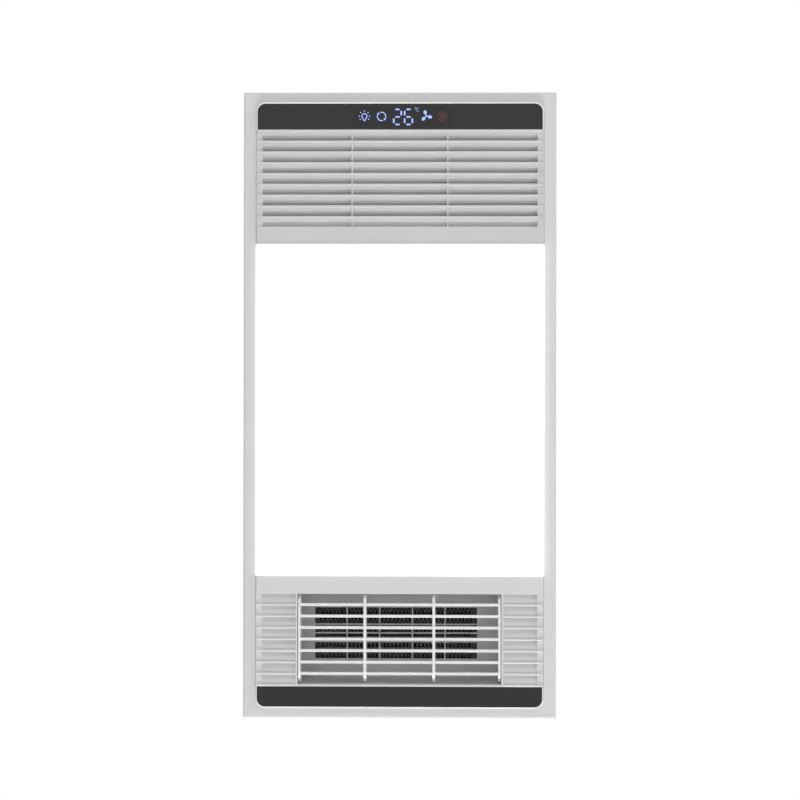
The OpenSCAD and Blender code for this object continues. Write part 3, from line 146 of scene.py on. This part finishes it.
M = {
    "panel": moulded("panel_white", (0.75, 0.75, 0.75), 0.38, 0.012, coat=0.15),
    "grille": moulded("grille_white", (0.69, 0.69, 0.69), 0.4, 0.012, coat=0.1),
    "low_strip": moulded("smoked_low_strip", (0.0035, 0.0035, 0.0036), 0.22, 0.05, grain=900,
                         depth=0.000005),
    "strip": moulded("smoked_strip", (0.0065, 0.0065, 0.0068), 0.22, 0.05, grain=900,
                     depth=0.000005, coat=0.1),
    "steel": galvanised("galvanised_sheet"),
    "zinc": metal("zinc_fastener", (0.62, 0.63, 0.65), 0.3, (1, 1, 8), 500),
    "led_board": moulded("led_board", (0.80, 0.80, 0.78), 0.5),
    "white": moulded("white_moulding", (0.72, 0.72, 0.70), 0.45),
    "pcb": moulded("lacquered_board", (0.03, 0.16, 0.08), 0.3, 0.15, cloud=200, coat=0.5),
    "black": moulded("black_moulding", (0.016, 0.016, 0.018), 0.45, 0.1),
    "grey": moulded("grey_moulding", (0.76, 0.76, 0.765), 0.5, 0.03),
    "motor": metal("plated_can", (0.60, 0.61, 0.62), 0.32, (1, 1, 12), 300),
    "brass": metal("brass", (0.70, 0.52, 0.22), 0.3),
    "alu": metal("mill_aluminium", (0.72, 0.73, 0.74), 0.36, (1, 6, 1), 350),
    # dark grey for the black coating of the fins: painted light, lighter than black so that the fins read
    # lit inside the shaded outlet
    "fin": moulded("coated_fin", (0.20, 0.20, 0.202), 0.45, 0.2),
    "duct": moulded("duct_moulding", (0.055, 0.056, 0.06), 0.55, 0.06),
    "rubber": moulded("rubber", (0.02, 0.02, 0.02), 0.75, 0.1, grain=900, depth=0.00006),
    # vane white, lighter than the panel's: partly painted light, standing for the highlights and light the
    # vanes catch in the outlet
    "vane": moulded("vane_white", (0.92, 0.92, 0.92), 0.3, 0.01, coat=0.3),
    # the tubes' black coating is likewise drawn lighter than black: painted light inside the shaded outlet
    "tube": moulded("coated_tube", (0.20, 0.20, 0.202), 0.5, 0.15),
    "part_blue": moulded("component_case", (0.03, 0.12, 0.38), 0.4, 0.1),
}

# opal diffuser, lit from behind
m, nt, b, co = new_mat("opal_lit")
b.inputs["Base Color"].default_value = (0.92, 0.92, 0.92, 1)
b.inputs["Roughness"].default_value = 0.5
c = ramp(nt, noise(nt, co, 8, 2), [(0.3, (0.97, 0.98, 1.0)), (0.7, (1, 1, 1))])
nt.links.new(c, b.inputs["Emission Color"])
b.inputs["Emission Strength"].default_value = 0.75
bump(nt, b, noise(nt, co, 1500, 2), 0.2, 0.00002)
M["opal"] = m

SLOTS = {
    "panel_plastic": "panel", "dark_glass": "strip", "diffuser": "opal", "sheet_steel": "steel",
    "fasteners": "zinc", "led_white": "led_board", "white_plastic": "white", "pcb": "pcb",
    "black_plastic": "black", "grey_plastic": "grey", "motor_steel": "motor", "brass": "brass",
    "aluminium": "alu", "heater_black": "fin", "duct_plastic": "duct", "rubber": "rubber",
    "components": "part_blue",
}
OWN_FINISH = {"intake_grille": "grille", "swing_grille": "vane", "lower_window": "low_strip",
              "heater_tubes": "tube"}
for sp in frame["record"]["subparts"]:
    for s in nodes[sp["node"]].material_slots:
        s.link = "OBJECT"
        s.material = M[OWN_FINISH.get(sp["node"]) or SLOTS[sp["material_slot"]]]

# Camera, lights and stage
scene = bpy.context.scene
scene.view_settings.view_transform = "Standard"
scene.view_settings.look = "None"

TILT, YAW, ROLL = math.radians(0.173), math.radians(-0.716), math.radians(-0.079)
DISTANCE, SEEN_WIDTH, SENSOR = 1.6, 0.7670, 36    # metres to the panel, metres seen there, film width in mm
cam = bpy.data.cameras.new("camera")
cam.sensor_width = SENSOR
cam.lens = SENSOR * DISTANCE / SEEN_WIDTH
cam.clip_end = 30
cam_o = bpy.data.objects.new("camera", cam)
target = Vector((0.00031, -0.00487, -0.007))
eye = target - DISTANCE * Vector((math.sin(YAW), -math.sin(TILT), math.cos(YAW) * math.cos(TILT)))
z = (eye - target).normalized()
x = Vector((math.sin(ROLL), -math.cos(ROLL), 0)).cross(z).normalized()
y = z.cross(x)
cam_o.matrix_world = Matrix((x, y, z)).transposed().to_4x4()
cam_o.location = eye
scene.collection.objects.link(cam_o)
scene.camera = cam_o


def area(name, loc, aim, size, power):
    """Square soft lamp, with its side in metres and its power in watts."""
    l = bpy.data.lights.new(name, "AREA")
    l.shape = "SQUARE"
    l.size = size
    l.energy = power
    o = bpy.data.objects.new(name, l)
    o.location = loc
    o.rotation_euler = (Vector(aim) - Vector(loc)).to_track_quat("-Z", "Y").to_euler()
    scene.collection.objects.link(o)


area("right_far", (4.5, 0.0, -1.5), (0, 0, 0), 1.2, 36)
area("low_far", (0, 4.5, -1.5), (0, 0, 0), 1.2, 110)
area("top_far", (0, -3.2, -2.1), (0, 0, 0), 1.2, 42)
area("back_soft", (1.6, -1.5, 2.0), (0, 0, 0.1), 1.6, 8)
area("back_fill", (-1.8, 1.6, 1.6), (0, 0, 0.1), 1.6, 5)


def seen(tree):
    """1 where a surface is looked at, straight, mirrored or through glass; 0 where it lights others."""
    path = tree.nodes.new("ShaderNodeLightPath")
    fac = path.outputs["Is Camera Ray"]
    for ray in ("Is Glossy Ray", "Is Transmission Ray"):
        top = tree.nodes.new("ShaderNodeMath")
        top.operation = "MAXIMUM"
        tree.links.new(fac, top.inputs[0])
        tree.links.new(path.outputs[ray], top.inputs[1])
        fac = top.outputs[0]
    return fac


WORLD_SOFT = 0.40                            # strength of the world where it lights the object
FLOOR_Z, FLOOR_HALF, FLOOR_GLOW = -2.4, 30, 0.55  # height and half side in metres, and glow when seen

w = bpy.data.worlds.new("studio")
scene.world = w
w.use_nodes = True
wt = w.node_tree
wt.nodes.clear()
out = wt.nodes.new("ShaderNodeOutputWorld")
mix = wt.nodes.new("ShaderNodeMixShader")
soft = wt.nodes.new("ShaderNodeBackground")
soft.inputs["Color"].default_value = (1, 1, 1, 1)
soft.inputs["Strength"].default_value = WORLD_SOFT
plain = wt.nodes.new("ShaderNodeBackground")
plain.inputs["Color"].default_value = (1, 1, 1, 1)
plain.inputs["Strength"].default_value = 1.0
wt.links.new(seen(wt), mix.inputs["Fac"])
wt.links.new(soft.outputs[0], mix.inputs[1])
wt.links.new(plain.outputs[0], mix.inputs[2])
wt.links.new(mix.outputs[0], out.inputs["Surface"])

floor_me = bpy.data.meshes.new("floor")
fb = bmesh.new()
bmesh.ops.create_grid(fb, x_segments=2, y_segments=2, size=FLOOR_HALF)
fb.to_mesh(floor_me)
fb.free()
floor = bpy.data.objects.new("floor", floor_me)
floor.location = (0, 0, FLOOR_Z)
scene.collection.objects.link(floor)
fm = moulded("pale_floor", (0.82, 0.82, 0.82), 0.7, 0.01)
ft = fm.node_tree
glow = ft.nodes.new("ShaderNodeMath")
glow.operation = "MULTIPLY"
glow.inputs[1].default_value = FLOOR_GLOW
ft.links.new(seen(ft), glow.inputs[0])
ft.nodes["Principled BSDF"].inputs["Emission Color"].default_value = (1, 1, 1, 1)
ft.links.new(glow.outputs[0], ft.nodes["Principled BSDF"].inputs["Emission Strength"])
floor_me.materials.append(fm)


# Building tools
def finish_piece(bm, name, mat, origin=(0, 0, 0)):
    """Turn a mesh into a piece of the unit. The origin sets where it cuts through its material's pattern."""
    bmesh.ops.recalc_face_normals(bm, faces=bm.faces)
    me = bpy.data.meshes.new(name)
    bm.to_mesh(me)
    bm.free()
    me.transform(Matrix.Translation([-v for v in origin]))
    me.materials.append(mat)
    o = bpy.data.objects.new(name, me)
    o.location = origin
    scene.collection.objects.link(o)
    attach(o, "unit")


def block(bm, lo, hi):
    """Closed box between two corners given in mm."""
    verts = bmesh.ops.create_cube(bm, size=1)["verts"]
    bmesh.ops.scale(bm, vec=[(b - a) * MM for a, b in zip(lo, hi)], verts=verts)
    bmesh.ops.translate(bm, vec=[(a + b) / 2 * MM for a, b in zip(lo, hi)], verts=verts)


# Flat artwork of the display

# Places and sizes of the artwork are pixels of the 800 x 800 photograph.
PIXEL_MM = 0.958                             # millimetres to a pixel
MIDDLE_X, MIDDLE_Y = 399.8, 404.8            # pixel in the middle of the panel
FIGURE_Z, FIGURE_T = -9.88, 0.04             # face and thickness of the lit figures in mm
WINDOW_Z, WINDOW_T = -9.83, 0.02             # face and thickness of the readout window in mm
WINDOW_X0, WINDOW_X1, WINDOW_Y0, WINDOW_Y1 = 353.3, 451.5, 106.5, 126.5


def px(x, y):
    """A pixel of the photograph as a point on the face, in metres."""
    return ((x - MIDDLE_X) * PIXEL_MM * MM, (y - MIDDLE_Y) * PIXEL_MM * MM)


def circle(cx, cy, r, a):
    return (cx + r * math.cos(a), cy + r * math.sin(a))


class Flat:
    """Thin closed plates lying on the display strip, collected into one mesh."""

    def __init__(self, z=FIGURE_Z, t=FIGURE_T):
        self.bm = bmesh.new()
        self.z, self.low_z = z * MM, (z + t) * MM

    def poly(self, pts):
        top = [self.bm.verts.new((*px(*p), self.z)) for p in pts]
        low = [self.bm.verts.new((*px(*p), self.low_z)) for p in pts]
        self.bm.faces.new(top)
        self.bm.faces.new(list(reversed(low)))
        n = len(pts)
        for i in range(n):
            j = (i + 1) % n
            self.bm.faces.new((top[j], top[i], low[i], low[j]))

    def ring(self, cx, cy, r, w, a0=0, a1=360, steps=24):
        """Band of width w from angle a0 to a1; steps counts those of a whole turn."""
        s = max(2, int(steps * (a1 - a0) / 360))
        outer, inner = r + w / 2, r - w / 2
        for i in range(s):
            a, b = (math.radians(a0 + (a1 - a0) * k / s) for k in (i, i + 1))
            self.poly([circle(cx, cy, outer, a), circle(cx, cy, outer, b),
                       circle(cx, cy, inner, b), circle(cx, cy, inner, a)])

    def line(self, x0, y0, x1, y1, w):
        dx, dy = x1 - x0, y1 - y0
        l = math.hypot(dx, dy)
        nx, ny = -dy / l * w / 2, dx / l * w / 2
        self.poly([(x0 + nx, y0 + ny), (x1 + nx, y1 + ny), (x1 - nx, y1 - ny), (x0 - nx, y0 - ny)])

    def ray(self, cx, cy, r0, r1, a, w):
        """Line outwards from a middle, between two radii."""
        self.line(*circle(cx, cy, r0, a), *circle(cx, cy, r1, a), w)


# segments of the digits
BAR_H_L, BAR_H_T = 3.7, 1.55                 # length and thickness of a lying segment
BAR_V_L, BAR_V_T = 4.0, 1.6                  # and of a standing one
BAR_TIP = 0.6                                # reach of its pointed ends, as a share of half the thickness
BAR_INSET = 1.0                              # from a digit's side to the middle of a standing segment
LYING_Y = {"a": 109.2, "g": 116.8, "d": 124.3}
STANDING_Y = {"f": 113.0, "b": 113.0, "e": 120.6, "c": 120.6}
TENS_X, ONES_X = (392.5, 402.0), (403.4, 413.1)


def bar_h(f, cx, cy):
    l, e = BAR_H_L / 2, BAR_H_T / 2
    f.poly([(cx - l - e * BAR_TIP, cy), (cx - l, cy - e), (cx + l, cy - e),
            (cx + l + e * BAR_TIP, cy), (cx + l, cy + e), (cx - l, cy + e)])


def bar_v(f, cx, cy):
    l, e = BAR_V_L / 2, BAR_V_T / 2
    f.poly([(cx, cy - l - e * BAR_TIP), (cx + e, cy - l), (cx + e, cy + l),
            (cx, cy + l + e * BAR_TIP), (cx - e, cy + l), (cx - e, cy - l)])


def digit(f, x0, x1, segments):
    for name, y in LYING_Y.items():
        if name in segments:
            bar_h(f, (x0 + x1) / 2, y)
    for name, y in STANDING_Y.items():
        if name in segments:
            bar_v(f, x0 + BAR_INSET if name in "fe" else x1 - BAR_INSET, y)


# degree sign with C
DEGREE_X, DEGREE_Y, DEGREE_R, DEGREE_W = 415.3, 108.0, 0.65, 0.3
CELSIUS_X, CELSIUS_Y, CELSIUS_R, CELSIUS_W = 417.6, 109.6, 1.6, 0.4


def celsius(f):
    f.ring(DEGREE_X, DEGREE_Y, DEGREE_R, DEGREE_W, steps=14)
    f.ring(CELSIUS_X, CELSIUS_Y, CELSIUS_R, CELSIUS_W, 50, 310, 18)


# lamp with rays
LAMP_X, LAMP_Y, LAMP_R, LAMP_W = 364.2, 116.0, 2.5, 0.9
NECK_OUT, NECK_IN, NECK_TOP, NECK_LOW = 2.1, 0.2, 1.4, 4.8   # sides of the lamp's neck
RAY_R0, RAY_R1, RAY_W = 4.6, 5.7, 1.0
RAY_ANGLES = (145, 180, 225, 270, 315, 0, 35)


def lamp(f):
    f.ring(LAMP_X, LAMP_Y, LAMP_R, LAMP_W, -215, 35, 22)
    for s in (-1, 1):
        f.line(LAMP_X + s * NECK_OUT, LAMP_Y + NECK_TOP, LAMP_X + s * NECK_IN, LAMP_Y + NECK_LOW, LAMP_W)
    for a in RAY_ANGLES:
        f.ray(LAMP_X, LAMP_Y, RAY_R0, RAY_R1, math.radians(a), RAY_W)


# two arrows in a ring
ARROWS_X, ARROWS_Y, ARROWS_R, ARROWS_W = 381.3, 116.3, 4.2, 0.95
HEAD_HALF, HEAD_L = 1.3, 2.2                 # half width and length of an arrow's head


def arrows(f):
    for start in (0, 180):
        f.ring(ARROWS_X, ARROWS_Y, ARROWS_R, ARROWS_W, start + 70, start + 210, 26)
        a = math.radians(start + 213)
        hx, hy = circle(ARROWS_X, ARROWS_Y, ARROWS_R, a)
        f.poly([circle(ARROWS_X, ARROWS_Y, ARROWS_R - HEAD_HALF, a),
                circle(ARROWS_X, ARROWS_Y, ARROWS_R + HEAD_HALF, a),
                (hx - math.sin(a) * HEAD_L, hy + math.cos(a) * HEAD_L)])


# three-blade fan
FAN_X, FAN_Y, FAN_START, FAN_BLADES = 426.0, 115.9, -106, 3
BLADE_R0, BLADE_L, BLADE_STEPS = 0.6, 5.2, 8
BLADE_SWELL, BLADE_ROOT = 0.34, 0.12         # half angle of a blade at its middle, and added all along
HUB_R, HUB_W = 0.45, 0.9


def fan(f):
    for k in range(FAN_BLADES):
        a0 = math.radians(FAN_START + 360 / FAN_BLADES * k)
        pts = []
        for side, steps in ((1, range(BLADE_STEPS + 1)), (-1, range(BLADE_STEPS, -1, -1))):
            for t in steps:
                u = t / BLADE_STEPS
                a = a0 + side * (BLADE_SWELL * math.sin(math.pi * u) + BLADE_ROOT)
                pts.append(circle(FAN_X, FAN_Y, BLADE_R0 + BLADE_L * u, a))
        f.poly(pts)
    f.ring(FAN_X, FAN_Y, HUB_R, HUB_W, steps=12)


# heater: a ring in a ring of dots
HEAT_X, HEAT_Y, HEAT_R, HEAT_W = 442.5, 116.3, 1.9, 0.6
DOT_R0, DOT_R1, DOTS = 4.1, 5.0, 16


def heater_mark(f):
    f.ring(HEAT_X, HEAT_Y, HEAT_R, HEAT_W, steps=24)
    for k in range(DOTS):
        f.ray(HEAT_X, HEAT_Y, DOT_R0, DOT_R1, math.tau * k / DOTS, HEAT_W)


BLUE = emit("segment_blue", (0.37, 0.49, 1.0), 1.0)
RED = emit("segment_red", (0.22, 0.035, 0.035), 1.0)
WINDOW = moulded("readout_window", (0.004, 0.004, 0.0055), 0.2, 0.05, grain=900, depth=0.000005, coat=0.05)

f = Flat(WINDOW_Z, WINDOW_T)
f.poly([(WINDOW_X0, WINDOW_Y0), (WINDOW_X1, WINDOW_Y0), (WINDOW_X1, WINDOW_Y1), (WINDOW_X0, WINDOW_Y1)])
finish_piece(f.bm, "readout_window", WINDOW)

f = Flat()
digit(f, *TENS_X, "abged")
digit(f, *ONES_X, "afgedc")
celsius(f)
lamp(f)
arrows(f)
fan(f)
finish_piece(f.bm, "display_figures", BLUE)

f = Flat()
heater_mark(f)
finish_piece(f.bm, "display_heater_mark", RED)

# Rounded rim round the dark strips: a thin sheet on the modules' rounded edge, whiter than the panel as a
# painted highlight
# its near white, lighter than the panel's plastic, is a painted highlight along the rounded edge
PAINTED_HIGHLIGHT_EDGE = moulded("bright_edging_painted_highlight", (0.95, 0.95, 0.95), 0.25, 0.01, coat=0.4)
FACE_Z = -10.0                               # face of the modules, the next values are in mm too
MOD_X, MOD_Y, MOD_R = 138.0, 290.1, 9.2      # half sides and corner radius of the modules' outline
ROUND = 2.0                                  # rounding of their long edges
RIM_W = 1.35                                 # width of the rim
RIM_TOP_END, RIM_LOW_END = 263.9, 269.5      # where it ends beside the upper and the lower strip
UNDER_GAP = 0.01                             # its underside stands this far off the plastic
LIFT = 0.06                                  # its edges stand this far off
BULGE = 0.35                                 # and its middle this much further
CORNER_STEPS, RIM_STEPS = 8, 4               # steps round a corner and across the rim


def face_z(x):
    """Height of the module's face at a distance from the middle, in mm."""
    d = max(0.0, abs(x) - (MOD_X - ROUND))
    return FACE_Z + ROUND - math.sqrt(max(0.0, ROUND ** 2 - min(d, ROUND) ** 2))


def shell(bm, rows, bulge):
    """Closed thin sheet over rows of (x, y) points, laid on the face and rounded along each row."""
    n, m = len(rows), len(rows[0])
    low = [[bm.verts.new((x * MM, y * MM, (face_z(x) - UNDER_GAP) * MM)) for x, y in r] for r in rows]
    top = [[bm.verts.new((x * MM, y * MM, (face_z(x) - LIFT - bulge * math.sin(math.pi * j / (m - 1))) * MM))
            for j, (x, y) in enumerate(r)] for r in rows]
    for i in range(n - 1):
        for j in range(m - 1):
            bm.faces.new((top[i][j], top[i][j + 1], top[i + 1][j + 1], top[i + 1][j]))
            bm.faces.new((low[i][j], low[i + 1][j], low[i + 1][j + 1], low[i][j + 1]))
    rim = [(i, 0) for i in range(n)] + [(n - 1, j) for j in range(1, m)]
    rim += [(i, m - 1) for i in range(n - 2, -1, -1)] + [(0, j) for j in range(m - 2, 0, -1)]
    for k, (i, j) in enumerate(rim):
        a, b = rim[(k + 1) % len(rim)]
        bm.faces.new((top[i][j], low[i][j], low[a][b], top[a][b]))


def strip_rim(bm, sign, y_in):
    """Rim round the outer three sides of a dark strip, from one inner corner to the other."""
    stations = [(-1, 0, -MOD_X, y_in), (-1, 0, -MOD_X, MOD_Y - MOD_R)]
    for k in range(1, CORNER_STEPS + 1):
        a = math.radians(180 - 90 * k / CORNER_STEPS)
        stations.append((math.cos(a), math.sin(a), *circle(-MOD_X + MOD_R, MOD_Y - MOD_R, MOD_R, a)))
    stations += [(-nx, ny, -x, y) for nx, ny, x, y in reversed(stations)]
    rows = []
    for nx, ny, x, y in stations:
        steps = [RIM_W * t / RIM_STEPS for t in range(RIM_STEPS + 1)]
        rows.append([(x - nx * d, sign * (y - ny * d)) for d in steps])
    shell(bm, rows, BULGE)


bm = bmesh.new()
strip_rim(bm, -1, RIM_TOP_END)
strip_rim(bm, 1, RIM_LOW_END)
finish_piece(bm, "module_edging_painted_highlight", PAINTED_HIGHLIGHT_EDGE)

# Dark crosses on the screw heads: flat sheets whose near black is painted shade for the cross recesses
PAINTED_RECESS_SHADE = moulded("cross_recess_painted_shade", (0.03, 0.03, 0.032), 0.5, 0.1, grain=900)
# node, axis that its heads face along, and place of their tops on that axis in mm
HEADS = (("housing_screws", 2, 151.6), ("spigot_screws", 0, 105.0), ("terminal_screws", 0, -149.0),
         ("bracket_screws", 0, 133.3), ("bracket_screws", 0, -133.3))
CROSS_L, CROSS_W, CROSS_T = 3.2, 0.6, 0.05   # length, width and thickness of the bars in mm
CROSS_GAP = 0.005                            # from the head to the cross
LEVEL_NEAR, HEAD_NEAR = 0.02, 7              # points this near are on the level, or on one head


def head_centres(node, axis, level):
    """Middles of the screw heads whose tops lie at one level along an axis, in mm."""
    groups = []
    for v in nodes[node].data.vertices:
        p = (nodes[node].matrix_world @ v.co) / MM
        if abs(p[axis] - level) > LEVEL_NEAR:
            continue
        near = [g for g in groups if (g[0] - p).length < HEAD_NEAR]
        if near:
            near[0].append(p)
        else:
            groups.append([p])
    return [Vector([(min(p[i] for p in g) + max(p[i] for p in g)) / 2 for i in range(3)]) for g in groups]


bm = bmesh.new()
for node, axis, level in HEADS:
    flat = [i for i in range(3) if i != axis]
    for c in head_centres(node, axis, level):
        c[axis] += math.copysign(CROSS_T / 2 + CROSS_GAP, level)
        for along, across in (flat, reversed(flat)):
            half = Vector([0, 0, 0])
            half[along], half[across], half[axis] = CROSS_L / 2, CROSS_W / 2, CROSS_T / 2
            block(bm, c - half, c + half)
# the crosses' dark colour is painted shade of the recesses, not a colour of the screws
finish_piece(bm, "screw_recess_painted_shade", PAINTED_RECESS_SHADE)

# Corner tabs of the housing, with spot welds
HOUSING_X, HOUSING_Y, HOUSING_Z = 130.0, 276.0, 150.0   # outside of the folded sheet in mm
TAB_W, TAB_T, TAB_END = 16.0, 0.7, 3.0       # width and thickness of a tab, and from its ends to the edges
WELD_R, WELD_T, WELDS = 2.4, 0.08, 5         # radius, height and number of the weld marks on a tab
WELD_END = 14.0                              # from the housing's edges to the outer marks
WELD_TOP, WELD_SIDES = 0.8, 20               # a mark's top as a share of its radius, and its sides
WELD = metal("weld_mark", (0.26, 0.26, 0.265), 0.45, scale=600)
TAB_ORIGIN = (0.31, 0.17, 0.05)              # gives the tabs another part of the spangle than the wall


def disc(bm, x, y, z):
    """Low round weld mark on a wall that faces along y, in mm."""
    verts = bmesh.ops.create_cone(bm, cap_ends=True, segments=WELD_SIDES, radius1=WELD_R * MM,
                                  radius2=WELD_R * WELD_TOP * MM, depth=WELD_T * MM)["verts"]
    bmesh.ops.rotate(bm, matrix=Matrix.Rotation(math.copysign(math.pi / 2, -y), 3, "X"), verts=verts)
    bmesh.ops.translate(bm, vec=(x * MM, y * MM, z * MM), verts=verts)


tabs, welds = bmesh.new(), bmesh.new()
for sx in (-1, 1):
    for sy in (-1, 1):
        xs = sorted((sx * (HOUSING_X - TAB_W), sx * HOUSING_X))
        ys = sorted((sy * HOUSING_Y, sy * (HOUSING_Y + TAB_T)))
        block(tabs, (xs[0], ys[0], TAB_END), (xs[1], ys[1], HOUSING_Z - TAB_END))
        for k in range(WELDS):
            disc(welds, sx * (HOUSING_X - TAB_W / 2), sy * (HOUSING_Y + TAB_T + WELD_T / 2),
                 WELD_END + k * (HOUSING_Z - 2 * WELD_END) / (WELDS - 1))
finish_piece(tabs, "housing_corner_tabs", M["steel"], TAB_ORIGIN)
finish_piece(welds, "housing_spot_welds", WELD)

# Rounded crests of the louvres' ridges
INTAKE_RIDGE, INTAKE_PITCH, INTAKE_ROWS = -263.6, 10.35, 9
OUTLET_RIDGE, OUTLET_PITCH, OUTLET_ROWS = 190.2, 11.0, 8
RIDGE = 2.0                                  # width of a ridge
BLANK_X, RIDGE_X = 99.6, 137.0               # inner end of the ridges beside the outlet, outer end of all
INTAKE_CREST, OUTLET_CREST = 0.6, 0.8        # height of the crests
CREST_Z = -9.98                              # their underside, just inside the ridge
CREST_STEPS = 8                              # steps over the round
CREST_END, END_STEPS, END_START = 1.8, 3, 20  # rounded ends: length, steps, and first angle in degrees


def crest(bm, x0, x1, y, height):
    """Half-round bead along a ridge, closed underneath, with both ends drawn down round."""
    stations = []
    for k in range(END_STEPS + 1):
        size = math.sin(math.radians(END_START + (90 - END_START) * k / END_STEPS))
        stations.append((x0 + CREST_END * (1 - size), size))
    stations += [(x0 + x1 - x, size) for x, size in reversed(stations)]
    loops = []
    for x, size in stations:
        loop = []
        for i in range(CREST_STEPS + 1):
            b = math.pi * i / CREST_STEPS
            loop.append(bm.verts.new((x * MM, (y + RIDGE / 2 * (1 - size * math.cos(b))) * MM,
                                      (CREST_Z - height * size * math.sin(b)) * MM)))
        loops.append(loop)
    for p, q in zip(loops, loops[1:]):
        for i in range(CREST_STEPS):
            bm.faces.new((p[i], p[i + 1], q[i + 1], q[i]))
        bm.faces.new((p[CREST_STEPS], p[0], q[0], q[CREST_STEPS]))
    bm.faces.new(loops[0])
    bm.faces.new(list(reversed(loops[-1])))


crests = bmesh.new()
for k in range(OUTLET_ROWS):
    y = OUTLET_RIDGE + k * OUTLET_PITCH
    crest(crests, BLANK_X, RIDGE_X, y, OUTLET_CREST)
    crest(crests, -RIDGE_X, -BLANK_X, y, OUTLET_CREST)
finish_piece(crests, "outlet_ridge_crests", M["panel"])
crests = bmesh.new()
for k in range(INTAKE_ROWS):
    crest(crests, -RIDGE_X, RIDGE_X, INTAKE_RIDGE + k * INTAKE_PITCH, INTAKE_CREST)
finish_piece(crests, "intake_ridge_crests", M["grille"])

# Moulded rings of the spigot
SPIGOT_R, SPIGOT_Y, SPIGOT_Z = 49.0, 60.0, 78.0   # radius and axis of the spigot in mm
RING_AT, RING_R = (116.0, 121.0, 148.4), 0.7      # places along the spigot, and radius of a ring's section
RING_STEPS, SECTION_STEPS = 96, 8

rings = bmesh.new()
for x in RING_AT:
    loops = []
    for i in range(RING_STEPS):
        a = math.tau * i / RING_STEPS
        loop = []
        for j in range(SECTION_STEPS):
            b = math.tau * j / SECTION_STEPS
            y, z = circle(SPIGOT_Y, SPIGOT_Z, SPIGOT_R + RING_R * math.cos(b), a)
            loop.append(rings.verts.new(((x + RING_R * math.sin(b)) * MM, y * MM, z * MM)))
        loops.append(loop)
    for i in range(RING_STEPS):
        p, q = loops[i], loops[(i + 1) % RING_STEPS]
        for j in range(SECTION_STEPS):
            k = (j + 1) % SECTION_STEPS
            rings.faces.new((p[j], q[j], q[k], p[k]))
finish_piece(rings, "spigot_rings", M["white"])
